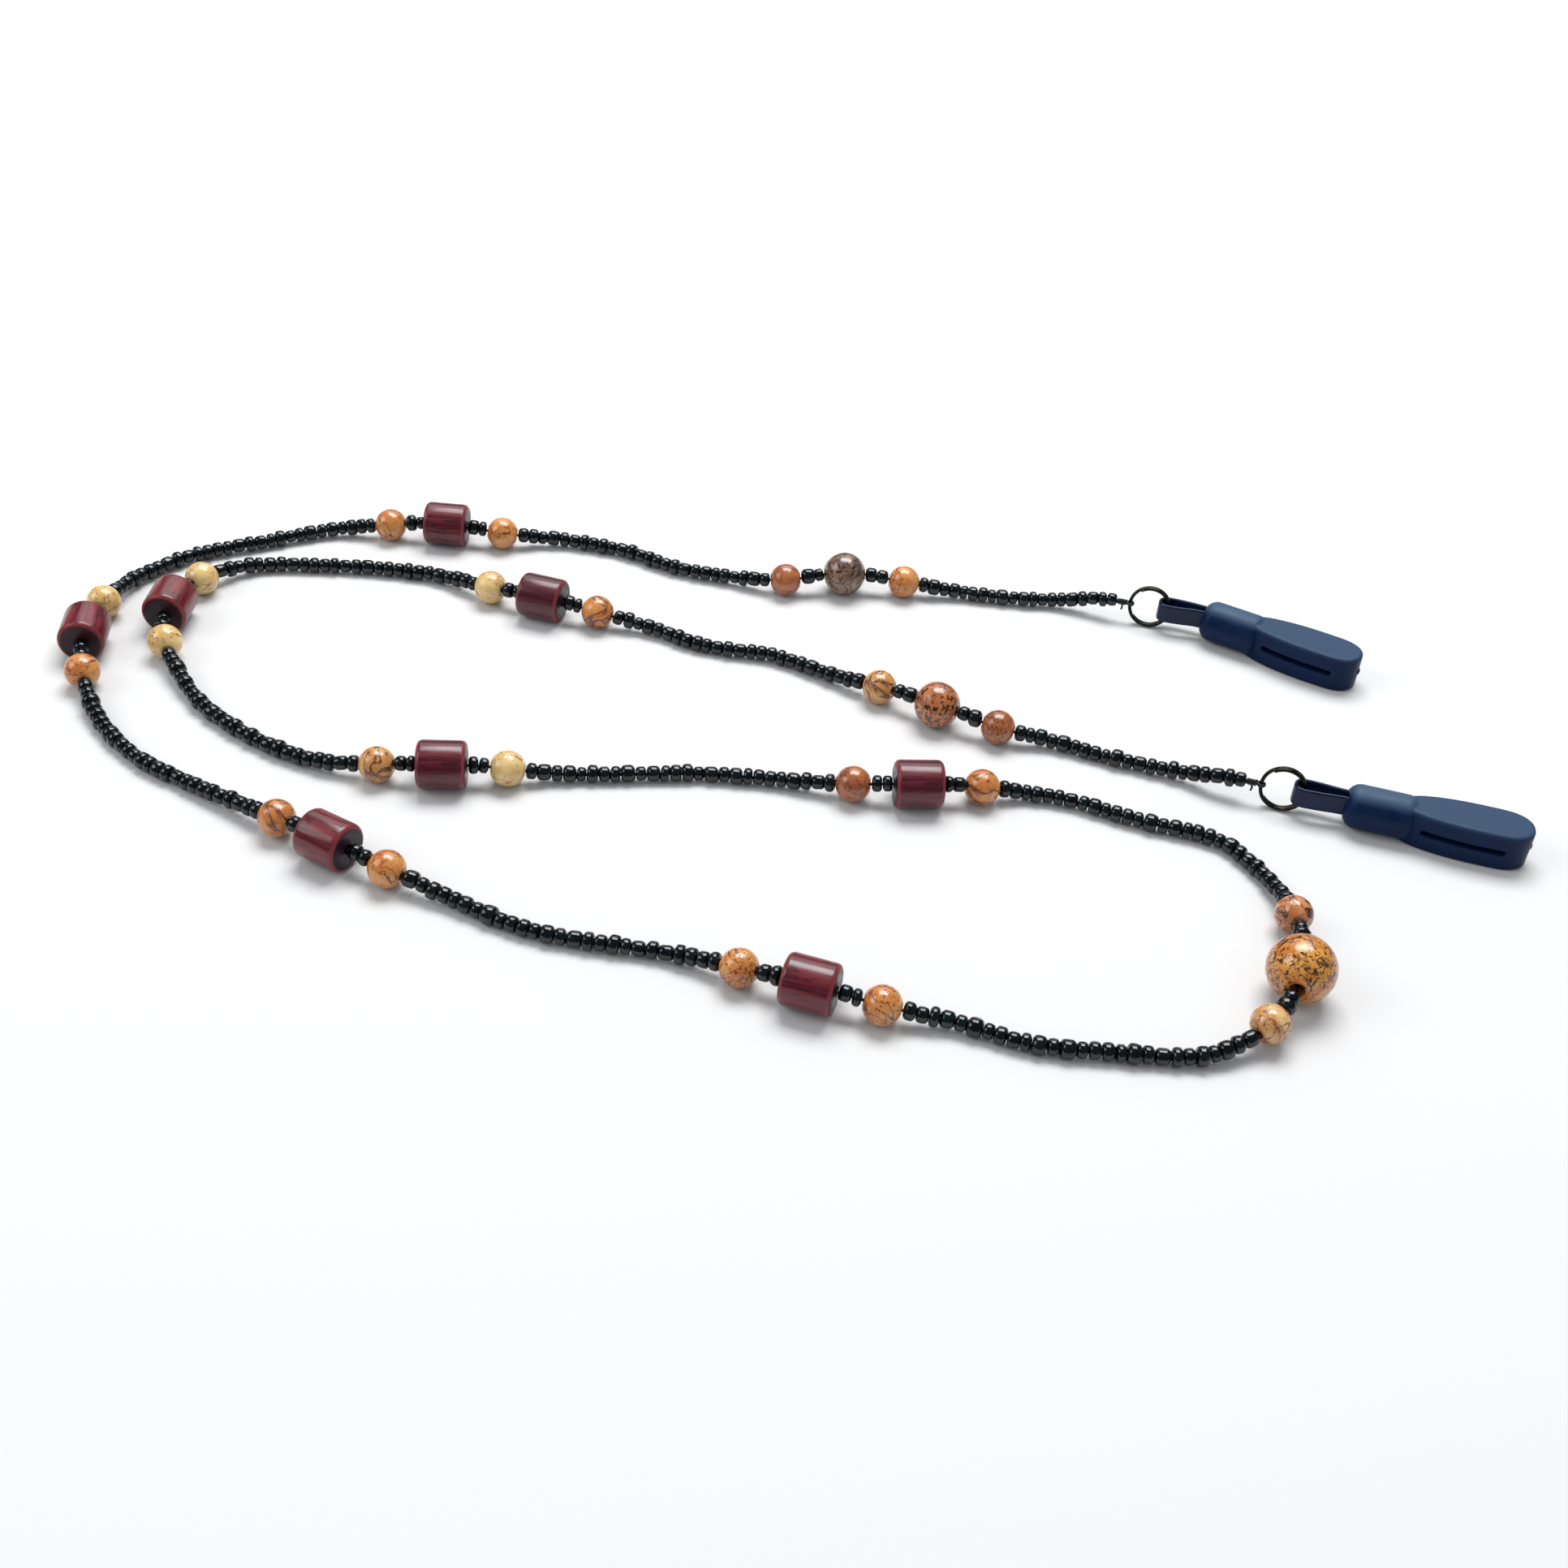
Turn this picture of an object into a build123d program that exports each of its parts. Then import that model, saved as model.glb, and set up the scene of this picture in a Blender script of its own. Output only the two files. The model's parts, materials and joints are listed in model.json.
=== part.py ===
from build123d import *
import math
import os

# Eyeglass retainer strap: a beaded thread with a split ring, a folded strap loop and a
# soft temple grip at each end. It lies in a loose double loop on the plane z = 0.
# Units are millimetres. +X runs along the layout's long side, +Z is up, and the origin
# is the middle of the layout's footprint.

# ---- Driving dimensions ----

# Accent beads
SMALL_STONE_DIAMETER = 6.0
MEDIUM_STONE_DIAMETER = 8.0
LARGE_STONE_DIAMETER = 10.5
STONE_BORE = 1.0
LARGE_STONE_BORE = 1.6
WOOD_DIAMETER = 8.0
WOOD_LENGTH = 8.0
WOOD_EDGE = 0.9
WOOD_BORE = 1.6
WOOD_FACE_GAP = 0.2
LARGE_STONE_FACE_GAP = 0.15

# Glass seed beads. Each seed takes the next length and the next diameter in turn.
SEED_LENGTHS = (1.85, 1.5, 2.1, 1.7, 2.3, 1.6, 1.8)
SEED_DIAMETERS = (2.4, 2.6, 2.25, 2.7, 2.45)
SEED_BORE = 0.9
SEED_EDGE = 0.5
SEED_GAP = 0.11

# Thread and the knots that tie it to the rings
THREAD_DIAMETER = 0.5
KNOT_DIAMETER = 1.5
KNOT_LENGTH = 1.5
KNOT_EDGE = 0.4
TIE_CLEARANCE = 0.1
TAIL_LENGTH = 1.5
TAIL_LEAN = 22.0
TAIL_DROP = 0.1

# Split rings
RING_OUTER_DIAMETER = 8.0
RING_WIRE = 0.65
RING_LAYER_GAP = 0.03
RING_LEAN = 9.0
NEAR_TURN_END = 125.0
FAR_TURN_END = -140.0
CROSSOVER_HALF_ANGLE = 40.0

# Strap loops, each a band folded round its ring
BAND_WIDTH = 3.7
BAND_THICKNESS = 0.7
FOLD_REACH = 1.5
FOLD_INNER_WIDTH = 2.2
MOUTH_INNER_WIDTH = 1.1
MOUTH_DISTANCE = 10.1
ANCHOR_DEPTH = 5.0
ANCHOR_WIDTH = 4.4
ANCHOR_LENGTH = 1.6
SOCKET_CLEARANCE = 0.05

# Temple grips, each one moulding of a round barrel and a flat paddle
BARREL_DIAMETER = 7.5
BARREL_LENGTH = 11.2
BARREL_DOME = 2.3
BARREL_SHOULDER = 1.4
PADDLE_LENGTH = 20.2
PADDLE_WIDTH = 7.9
PADDLE_THICKNESS = 6.9
PADDLE_EDGE = 0.6
# Shares of the paddle's length and half width along its side, from inside the barrel to the tip
PADDLE_PROFILE = [
    (-0.05, 0.3),
    (0.02, 0.56),
    (0.17, 0.81),
    (0.43, 0.98),
    (0.7, 1.0),
    (0.9, 0.83),
    (0.977, 0.48),
]
SLOT_LENGTH = 13.4
SLOT_HEIGHT = 0.9
SLOT_FROM_BARREL = 1.3
NUB_DIAMETER = 1.1
NUB_LENGTH = 0.25

# Where each end lies: the ring's centre, the direction from ring to strap, and the grip's direction
END_A = {"centre": (68.8, 51.0), "strap_heading": -11.0, "grip_heading": -27.0}
END_B = {"centre": (85.6, -2.2), "strap_heading": -13.0, "grip_heading": -13.5}

# ---- Heights that follow from the sizes ----

FLOOR_CLEARANCE = 0.05
RING_RADIUS = (RING_OUTER_DIAMETER - RING_WIRE) / 2
LAYER_OFFSET = (RING_WIRE + RING_LAYER_GAP) / 2
RING_LEVEL = (
    RING_RADIUS * math.cos(math.radians(RING_LEAN))
    + LAYER_OFFSET * math.sin(math.radians(RING_LEAN))
    + RING_WIRE / 2
)
GRIP_LEVEL = BARREL_DIAMETER / 2
SEEDS = max(SEED_DIAMETERS) / 2 + FLOOR_CLEARANCE
STONE = SMALL_STONE_DIAMETER / 2 + 0.15
WOOD = WOOD_DIAMETER / 2 + 0.39
MEDIUM = MEDIUM_STONE_DIAMETER / 2 + 0.36
LIFTED_STONE = SMALL_STONE_DIAMETER / 2 + 0.45
LARGE = LARGE_STONE_DIAMETER / 2 + 0.82

# ---- The thread's route ----

# Corner points from ring A round to ring B. An arc rounds each corner. A named point
# carries that bead at the middle of its arc; the others only steer the seed runs.
ROUTE = [
    (58.5, 53.1, 3.6, None),
    (52.7, 54.4, 1.6, None),
    (43.7, 54.0, SEEDS, None),
    (33.2, 54.7, SEEDS, None),
    (22.4, 54.3, STONE, "small_stone_a1_outer"),
    (10.9, 54.8, MEDIUM, "medium_stone_a1"),
    (0.0, 51.0, STONE, "small_stone_a1_inner"),
    (-11.3, 53.7, SEEDS, None),
    (-21.3, 55.3, SEEDS, None),
    (-32.3, 60.9, SEEDS, None),
    (-44.3, 62.6, SEEDS, None),
    (-55.2, 60.0, STONE, "small_stone_a2_outer"),
    (-66.0, 60.9, WOOD, "wood_barrel_a2"),
    (-76.8, 60.3, STONE, "small_stone_a2_inner"),
    (-87.8, 59.9, SEEDS, None),
    (-99.3, 53.3, SEEDS, None),
    (-111.3, 47.1, SEEDS, None),
    (-119.5, 37.3, SEEDS, None),
    (-121.3, 26.6, STONE, "small_stone_a3_outer"),
    (-121.2, 15.8, WOOD, "wood_barrel_a3"),
    (-118.0, 5.3, STONE, "small_stone_a3_inner"),
    (-112.2, -5.0, SEEDS, None),
    (-103.1, -14.6, SEEDS, None),
    (-89.5, -21.5, SEEDS, None),
    (-75.5, -28.8, STONE, "small_stone_a4_outer"),
    (-66.3, -34.3, WOOD, "wood_barrel_a4"),
    (-56.3, -38.7, STONE, "small_stone_a4_inner"),
    (-44.8, -42.9, SEEDS, None),
    (-33.3, -48.3, SEEDS, None),
    (-21.3, -49.5, SEEDS, None),
    (-11.3, -50.3, SEEDS, None),
    (-1.7, -54.0, STONE, "small_stone_a5_outer"),
    (8.7, -57.3, WOOD, "wood_barrel_a5"),
    (19.2, -59.5, STONE, "small_stone_a5_inner"),
    (30.2, -59.8, SEEDS, None),
    (41.7, -63.7, SEEDS, None),
    (53.7, -63.3, SEEDS, None),
    (65.2, -63.6, SEEDS, None),
    (75.7, -57.9, LIFTED_STONE, "small_stone_centre_a"),
    (81.7, -47.3, LARGE, "large_stone_centre"),
    (82.9, -32.9, LIFTED_STONE, "small_stone_centre_b"),
    (80.6, -22.3, SEEDS, None),
    (74.3, -13.2, SEEDS, None),
    (62.2, -10.9, SEEDS, None),
    (50.7, -6.5, SEEDS, None),
    (42.7, -5.4, SEEDS, None),
    (35.3, -6.9, STONE, "small_stone_b5_inner"),
    (24.7, -9.0, WOOD, "wood_barrel_b5"),
    (14.0, -9.1, STONE, "small_stone_b5_outer"),
    (3.2, -7.3, SEEDS, None),
    (-10.3, -6.9, SEEDS, None),
    (-23.8, -9.1, SEEDS, None),
    (-34.3, -10.5, SEEDS, None),
    (-42.3, -11.9, STONE, "small_stone_b4_inner"),
    (-52.7, -13.7, WOOD, "wood_barrel_b4"),
    (-63.3, -13.8, STONE, "small_stone_b4_outer"),
    (-74.8, -12.3, SEEDS, None),
    (-86.8, -6.7, SEEDS, None),
    (-97.5, 1.5, SEEDS, None),
    (-107.3, 15.6, STONE, "small_stone_b3_inner"),
    (-109.8, 26.3, WOOD, "wood_barrel_b3"),
    (-107.0, 36.9, STONE, "small_stone_b3_outer"),
    (-100.1, 45.0, SEEDS, None),
    (-88.3, 46.5, SEEDS, None),
    (-75.8, 47.3, SEEDS, None),
    (-64.8, 46.5, SEEDS, None),
    (-54.3, 40.9, STONE, "small_stone_b2_inner"),
    (-44.1, 37.5, WOOD, "wood_barrel_b2"),
    (-33.7, 35.7, STONE, "small_stone_b2_outer"),
    (-24.3, 34.8, SEEDS, None),
    (-13.8, 29.7, SEEDS, None),
    (-0.8, 29.1, SEEDS, None),
    (8.2, 24.3, SEEDS, None),
    (18.1, 19.2, STONE, "small_stone_b1_inner"),
    (28.0, 13.8, MEDIUM, "medium_stone_b1"),
    (38.5, 9.5, STONE, "small_stone_b1_outer"),
    (48.7, 9.5, SEEDS, None),
    (58.7, 5.6, SEEDS, None),
    (69.2, 3.3, 1.6, None),
    (75.4, 0.3, 3.6, None),
]
ARC_SHARE = 0.45


# ---- Frames ----


def direction(degrees):
    """The level unit vector that points that way, counted from +X towards +Y."""
    angle = math.radians(degrees)
    return Vector(math.cos(angle), math.sin(angle), 0)


def ring_frame(end):
    """Centre of the ring, local X towards the strap, local Z up in the ring's leaning plane."""
    x, y = end["centre"]
    level = Plane((x, y, RING_LEVEL), x_dir=direction(end["strap_heading"]), z_dir=(0, 0, 1))
    return level * Rot(X=-RING_LEAN)


def upright_frame(end):
    """Centre of the ring, local X towards the strap, local Z straight up."""
    x, y = end["centre"]
    return Plane((x, y, RING_LEVEL), x_dir=direction(end["strap_heading"]), z_dir=(0, 0, 1))


# ---- Thread ----


def route_points():
    """The thread's corner points, with both knots' exits added at its ends."""
    steering = [Vector(x, y, z) for x, y, z, _ in ROUTE]
    return [thread_exit(END_A)] + steering + [thread_exit(END_B)]


def thread_exit(end):
    """Where the thread leaves the knot at this end."""
    reach = RING_RADIUS + tie_radius() + THREAD_DIAMETER / 2 + KNOT_LENGTH
    return upright_frame(end).from_local_coords(Vector(-reach, 0, 0))


def corner_radii(points):
    """Each corner's arc, as large as its shorter run allows."""
    radii = []
    for before, corner, after in zip(points, points[1:], points[2:]):
        arriving, leaving = corner - before, after - corner
        half_turn = math.radians(arriving.get_angle(leaving)) / 2
        radii.append(ARC_SHARE * min(arriving.length, leaving.length) / math.tan(half_turn))
    return radii


def corner_stations(points, radii):
    """How far along the thread the middle of each corner's arc is."""
    stations = []
    travelled = 0
    last_tangent = 0
    for before, corner, after, radius in zip(points, points[1:], points[2:], radii):
        arriving, leaving = corner - before, after - corner
        turn = math.radians(arriving.get_angle(leaving))
        tangent = radius * math.tan(turn / 2)
        straight = arriving.length - last_tangent - tangent
        stations.append(travelled + straight + radius * turn / 2)
        travelled += straight + radius * turn
        last_tangent = tangent
    return stations


def bead_frame(path, station, half_length):
    """A bead's frame, local Z along its bore. The bore shares out the thread's bow inside it."""
    entry = path.position_at(station - half_length, position_mode=PositionMode.LENGTH)
    middle = path.position_at(station, position_mode=PositionMode.LENGTH)
    leaving = path.position_at(station + half_length, position_mode=PositionMode.LENGTH)
    along = leaving - entry
    origin = ((entry + leaving) / 2 + middle) / 2
    return Plane(origin, x_dir=along.cross(Vector(0, 0, 1)), z_dir=along)


def thread(path):
    """One round thread from knot to knot."""
    start = Plane(path.position_at(0), z_dir=path.tangent_at(0))
    return sweep(start * Circle(THREAD_DIAMETER / 2), path=path)


# ---- Beads, each centred on its own frame with its bore along Z ----


def stone(diameter, bore):
    """A polished round bead."""
    return Sphere(diameter / 2) - Cylinder(bore / 2, diameter)


def wood_barrel():
    """A turned barrel bead with rounded rims."""
    body = Cylinder(WOOD_DIAMETER / 2, WOOD_LENGTH)
    body = fillet(body.edges().filter_by(GeomType.CIRCLE), WOOD_EDGE)
    return body - Cylinder(WOOD_BORE / 2, WOOD_LENGTH)


def seed(diameter, length):
    """A glass seed bead, a short tube with rounded rims."""
    edge = min(SEED_EDGE, 0.4 * length)
    body = fillet(Cylinder(diameter / 2, length).edges().filter_by(GeomType.CIRCLE), edge)
    return body - Cylinder(SEED_BORE / 2, length)


BEAD_HALF_LENGTHS = {
    "small": SMALL_STONE_DIAMETER / 2,
    "medium": MEDIUM_STONE_DIAMETER / 2,
    "large": LARGE_STONE_DIAMETER / 2,
    "wood": WOOD_LENGTH / 2,
}
FACE_GAPS = {"small": 0, "medium": 0, "large": LARGE_STONE_FACE_GAP, "wood": WOOD_FACE_GAP}


def accent_bead(name):
    """The bead of that name's kind, which is the first word of the name."""
    kind = name.split("_")[0]
    if kind == "wood":
        return wood_barrel()
    bore = LARGE_STONE_BORE if kind == "large" else STONE_BORE
    return stone(2 * half_length(name), bore)


def half_length(name):
    """Half of an accent bead's length along the thread."""
    return BEAD_HALF_LENGTHS[name.split("_")[0]]


def face_reach(name):
    """How far from an accent bead's middle the seeds stay. A knot's face has no reach."""
    if name is None:
        return 0
    return half_length(name) + FACE_GAPS[name.split("_")[0]]


def accent_stations(points, radii):
    """Each accent bead's name and its place along the thread, from ring A to ring B."""
    stations = corner_stations(points, radii)
    return [(row[3], station) for row, station in zip(ROUTE, stations) if row[3]]


def seeds_between(path, start, end, first):
    """Seeds that fill the thread between two faces; first says where the size pattern starts."""
    pitch = sum(SEED_LENGTHS) / len(SEED_LENGTHS) + SEED_GAP
    count = max(1, round((end - start) / pitch))
    lengths = [SEED_LENGTHS[(first + i) % len(SEED_LENGTHS)] for i in range(count)]
    stretch = (end - start - (count + 1) * SEED_GAP) / sum(lengths)
    seeds = []
    station = start + SEED_GAP
    for i, nominal in enumerate(lengths):
        length = nominal * stretch
        diameter = SEED_DIAMETERS[(first + i) % len(SEED_DIAMETERS)]
        frame = bead_frame(path, station + length / 2, length / 2)
        seeds.append(frame * seed(diameter, length))
        station += length + SEED_GAP
    return seeds


def group_of(bead_name):
    """The last part of a run's name, such as a1, that beads of one group share."""
    words = bead_name.split("_")
    return words[2]


def seed_nodes(path, accents):
    """Every seed, gathered by the run or the set of spacers that it belongs to."""
    nodes = {}
    start = 0
    before = None
    first = 0
    for name, station in accents + [(None, path.length)]:
        reach = face_reach(name)
        seeds = seeds_between(path, start, station - reach, first)
        nodes.setdefault(seed_node_name(before, name), []).extend(seeds)
        first += len(seeds)
        start = station + reach
        before = name
    return {name: Compound(children=seeds) for name, seeds in nodes.items()}


def seed_node_name(before, after):
    """Spacers inside a group share a node by side; a run is named after the group that it leaves."""
    if before and after and group_of(before) == group_of(after):
        side = group_of(after)[0]
        return "spacer_seeds_centre" if side == "c" else f"spacer_seeds_{side}"
    if before is None:
        return "seed_run_a_ring"
    if after is None:
        return "seed_run_b_ring"
    return f"seed_run_{group_of(before)}_{group_of(after)}"


# ---- Ring and its tie ----


def ring_point(angle, layer):
    """A point on the split ring's centreline, in the ring's frame."""
    turn = math.radians(angle)
    return Vector(RING_RADIUS * math.cos(turn), layer, RING_RADIUS * math.sin(turn))


def split_ring():
    """A wire of nearly two turns side by side, crossing over from one to the other at the knot."""
    near, far = -LAYER_OFFSET, LAYER_OFFSET
    high, low = 180 - CROSSOVER_HALF_ANGLE, CROSSOVER_HALF_ANGLE - 180
    near_turn = ThreePointArc(
        ring_point(NEAR_TURN_END, near),
        ring_point((NEAR_TURN_END + low) / 2, near),
        ring_point(low, near),
    )
    far_turn = ThreePointArc(
        ring_point(high, far),
        ring_point((high + FAR_TURN_END) / 2, far),
        ring_point(FAR_TURN_END, far),
    )
    crossover = Spline(
        [near_turn @ 1, ring_point(180, 0), far_turn @ 0],
        tangents=[near_turn % 1, far_turn % 0],
    )
    path = Wire([near_turn, crossover, far_turn])
    section = Plane(near_turn @ 0, z_dir=near_turn % 0) * Circle(RING_WIRE / 2)
    return sweep(section, path=path)


def tie_radius():
    """Centreline radius of the thread's turn round the ring's wire."""
    return RING_WIRE / 2 + TIE_CLEARANCE + THREAD_DIAMETER / 2


def knot():
    """The thread's turn round the ring, the knot that closes it, and the cut tail."""
    wire = Vector(-RING_RADIUS, 0, 0)
    turn = Pos(wire) * Torus(tie_radius(), THREAD_DIAMETER / 2)
    start = -RING_RADIUS - tie_radius() - THREAD_DIAMETER / 2
    body = Cylinder(KNOT_DIAMETER / 2, KNOT_LENGTH + THREAD_DIAMETER)
    body = fillet(body.edges().filter_by(GeomType.CIRCLE), KNOT_EDGE)
    body = Pos(start - (KNOT_LENGTH - THREAD_DIAMETER) / 2, 0, 0) * Rot(Y=90) * Rot(Z=90) * body
    tail = Rot(X=-TAIL_LEAN) * Rot(Z=45) * Cylinder(THREAD_DIAMETER / 2, TAIL_LENGTH)
    tail = Pos(start - KNOT_LENGTH / 2, -THREAD_DIAMETER / 2, -KNOT_DIAMETER / 2 - TAIL_DROP) * tail
    return turn + body + tail


# ---- Strap loop ----


def band_centreline(end):
    """The band's path from one tail round the fold to the other, seen from above."""
    bend = end["grip_heading"] - end["strap_heading"]
    fold = (FOLD_INNER_WIDTH + BAND_THICKNESS) / 2
    neck = (MOUTH_INNER_WIDTH + BAND_THICKNESS) / 2
    into_grip = direction(bend)
    across_grip = direction(bend + 90)
    mouth = Vector(MOUTH_DISTANCE, 0, 0)
    tail = mouth + into_grip * ANCHOR_DEPTH
    tip = FOLD_REACH + BAND_THICKNESS / 2
    shoulder = tip + fold + 1.2
    left = [
        tail + across_grip * neck,
        mouth + across_grip * neck,
        Vector(shoulder, fold, 0),
        Vector(tip, fold, 0),
    ]
    right = [
        Vector(tip, -fold, 0),
        Vector(shoulder, -fold, 0),
        mouth - across_grip * neck,
        tail - across_grip * neck,
    ]
    fold_radius = 0.98 * fold
    radii = [3.0, 3.0, fold_radius, fold_radius, 3.0, 3.0]
    return FilletPolyline(*left, *right, radius=radii)


def strap_loop(end):
    """A flat band folded round the ring, with both tails joined to an anchor bar."""
    line = band_centreline(end)
    outline = Plane(line @ 0, z_dir=line % 0) * Rectangle(BAND_THICKNESS, BAND_WIDTH)
    band = sweep(outline, path=line)
    return band + anchor_frame(end) * Box(ANCHOR_LENGTH, ANCHOR_WIDTH, BAND_WIDTH)


def anchor_frame(end):
    """The middle of the anchor bar, in the upright frame."""
    bend = end["grip_heading"] - end["strap_heading"]
    return Pos(MOUTH_DISTANCE, 0, 0) * Rot(Z=bend) * Pos(ANCHOR_DEPTH, 0, 0)


# ---- Temple grip ----


def paddle():
    """The flat oval end, cut through by the slot that takes the temple arm."""
    start = BARREL_LENGTH - BARREL_SHOULDER
    half = PADDLE_WIDTH / 2
    tip = start + PADDLE_LENGTH
    side = [(start + along * PADDLE_LENGTH, out * half) for along, out in PADDLE_PROFILE]
    outline = Spline(side + [(tip, 0)] + [(x, -y) for x, y in reversed(side)])
    closing = Line(outline @ 1, outline @ 0)
    base = Pos(0, 0, -GRIP_LEVEL) * make_face([outline, closing])
    body = extrude(base, PADDLE_THICKNESS)
    rims = [edge for edge in body.edges() if abs(edge.tangent_at(0.5).Z) < 0.1]
    body = fillet(rims, PADDLE_EDGE)
    nub = Cylinder(NUB_DIAMETER / 2, 2 * NUB_LENGTH)
    middle = PADDLE_THICKNESS / 2 - GRIP_LEVEL
    body += Pos(tip, 0, middle) * Rot(Y=90) * nub
    slot_start = BARREL_LENGTH + SLOT_FROM_BARREL
    slot = Box(SLOT_LENGTH, 2 * PADDLE_WIDTH, SLOT_HEIGHT)
    return body - Pos(slot_start + SLOT_LENGTH / 2, 0, middle) * slot


def barrel():
    """The round end that holds the strap loop, domed towards the strap."""
    body = Rot(Y=90) * Cylinder(BARREL_DIAMETER / 2, BARREL_LENGTH)
    body = Pos(BARREL_LENGTH / 2, 0, 0) * body
    rims = body.edges().filter_by(GeomType.CIRCLE).sort_by(Axis.X)
    body = fillet(rims[0], BARREL_DOME)
    rims = body.edges().filter_by(GeomType.CIRCLE).sort_by(Axis.X)
    return fillet(rims[-1], BARREL_SHOULDER)


def socket():
    """The room inside the barrel for the band's tails and their anchor bar."""
    fit = 2 * SOCKET_CLEARANCE
    width = MOUTH_INNER_WIDTH + 2 * BAND_THICKNESS + fit
    height = BAND_WIDTH + fit
    passage = Pos(ANCHOR_DEPTH / 2, 0, 0) * Box(ANCHOR_DEPTH, width, height)
    outside = Pos(-ANCHOR_DEPTH / 2, 0, 0) * Box(ANCHOR_DEPTH, width, height)
    pocket = Pos(ANCHOR_DEPTH, 0, 0) * Box(ANCHOR_LENGTH + fit, ANCHOR_WIDTH + fit, height)
    return Pos(0, 0, RING_LEVEL - GRIP_LEVEL) * (passage + outside + pocket)


def grip():
    """One soft moulding, with local X along it from the barrel's mouth."""
    return barrel() + paddle() - socket()


def grip_frame(end):
    """The middle of the barrel's mouth, local X along the grip, local Z straight up."""
    mouth = upright_frame(end).from_local_coords(Vector(MOUTH_DISTANCE, 0, 0))
    origin = Vector(mouth.X, mouth.Y, GRIP_LEVEL)
    return Plane(origin, x_dir=direction(end["grip_heading"]), z_dir=(0, 0, 1))


# ---- The whole strap ----


def end_nodes(end, side):
    """The knot, ring, strap loop and grip of one end."""
    return {
        f"knot_{side}": upright_frame(end) * knot(),
        f"split_ring_{side}": ring_frame(end) * split_ring(),
        f"strap_loop_{side}": upright_frame(end) * strap_loop(end),
        f"grip_{side}": grip_frame(end) * grip(),
    }


def strap():
    """Every node of the strap by name."""
    points = route_points()
    radii = corner_radii(points)
    path = FilletPolyline(*points, radius=radii)
    accents = accent_stations(points, radii)
    nodes = {"thread": thread(path)}
    for name, station in accents:
        nodes[name] = bead_frame(path, station, half_length(name)) * accent_bead(name)
    nodes.update(seed_nodes(path, accents))
    nodes.update(end_nodes(END_A, "a"))
    nodes.update(end_nodes(END_B, "b"))
    report_thread(path, radii, nodes["thread"])
    return nodes


def report_thread(path, radii, solid):
    """Prints the thread's length, its corner radii, and its volume against section times length."""
    expected = math.pi * THREAD_DIAMETER**2 / 4 * path.length
    print(f"thread length {path.length:.1f} mm, tightest corner {min(radii):.1f} mm")
    print("corner radii", [round(radius, 1) for radius in radii])
    print(f"thread volume {solid.volume:.2f} mm3, section times length {expected:.2f} mm3")


os.makedirs("parts", exist_ok=True)
NODES = strap()
for node_name, shape in NODES.items():
    export_step(shape, f"parts/{node_name}.step")
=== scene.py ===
# %% [markdown]
# # A beaded eyeglass retainer strap
#
# A retainer strap hangs a pair of glasses round the neck. This one is a thread of glass
# seeds, polished stones and lacquered wood barrels. Each end is knotted to a split ring,
# and a folded band joins the ring to a soft grip that holds the glasses' arm.
#
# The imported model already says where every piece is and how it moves. It is loaded first,
# and everything made here is placed from it, so that nothing has to be fitted by eye.

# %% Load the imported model
import json
import math
import random

import bmesh
import bpy
from mathutils import Euler, Matrix, Vector


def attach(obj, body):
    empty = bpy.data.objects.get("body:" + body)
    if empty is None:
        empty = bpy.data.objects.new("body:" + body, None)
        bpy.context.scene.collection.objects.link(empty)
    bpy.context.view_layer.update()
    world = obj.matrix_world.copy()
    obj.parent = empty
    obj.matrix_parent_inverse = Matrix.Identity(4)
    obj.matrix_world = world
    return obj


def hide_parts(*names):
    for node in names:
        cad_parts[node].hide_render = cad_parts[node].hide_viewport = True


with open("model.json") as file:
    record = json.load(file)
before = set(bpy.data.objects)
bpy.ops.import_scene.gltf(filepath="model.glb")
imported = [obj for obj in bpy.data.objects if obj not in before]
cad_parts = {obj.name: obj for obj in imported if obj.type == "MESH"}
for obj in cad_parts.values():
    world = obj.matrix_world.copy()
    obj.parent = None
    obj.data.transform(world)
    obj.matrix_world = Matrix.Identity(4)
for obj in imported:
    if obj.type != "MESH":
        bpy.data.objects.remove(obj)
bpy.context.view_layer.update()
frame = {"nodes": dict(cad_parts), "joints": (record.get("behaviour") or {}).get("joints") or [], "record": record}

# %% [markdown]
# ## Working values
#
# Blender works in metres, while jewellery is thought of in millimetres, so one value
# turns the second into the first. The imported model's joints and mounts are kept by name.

MM = 0.001
joints = {joint["name"]: joint for joint in frame["joints"]}
mounts = {mount["name"]: mount for mount in frame["record"]["mounts"]}

# %% [markdown]
# ## Camera
#
# The strap lies on a table and is seen from one long side, from above at a little under
# forty degrees. The camera is slightly rolled, as one held in the hand is. An Euler
# rotation in ZYX order turns the roll first and the downward look after it, so the two
# angles can be set one by one.

# %% Place the camera
CAMERA_PLACE = (0.0027, -0.2503, 0.1933)
LOOK_DOWN = 38.4
CAMERA_ROLL = 4.53
LENS = 43.04

camera = bpy.data.objects.new("camera", bpy.data.cameras.new("camera"))
bpy.context.scene.collection.objects.link(camera)
camera.location = CAMERA_PLACE
camera.rotation_mode = "ZYX"
camera.rotation_euler = (math.radians(90 - LOOK_DOWN), 0, math.radians(CAMERA_ROLL))
camera.data.lens = LENS
camera.data.sensor_width = 36
camera.data.clip_start = 0.01
bpy.context.scene.camera = camera
print("camera", [round(value, 3) for value in camera.location])

# %% [markdown]
# ## The thread
#
# The thread is one limp cord from knot to knot, and every bead sits on it. A NURBS curve
# suits it: a few chosen points steer one smooth line, and the line bends everywhere a
# little instead of in corners. The order is set after the points are added, because
# Blender keeps it at straight runs when it is set before. A curve is as thick as its
# points' radius times its bevel depth. The radius carries the size here and the depth
# is one, because Blender pads a curve's bounding box by the radius of its points.

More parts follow.
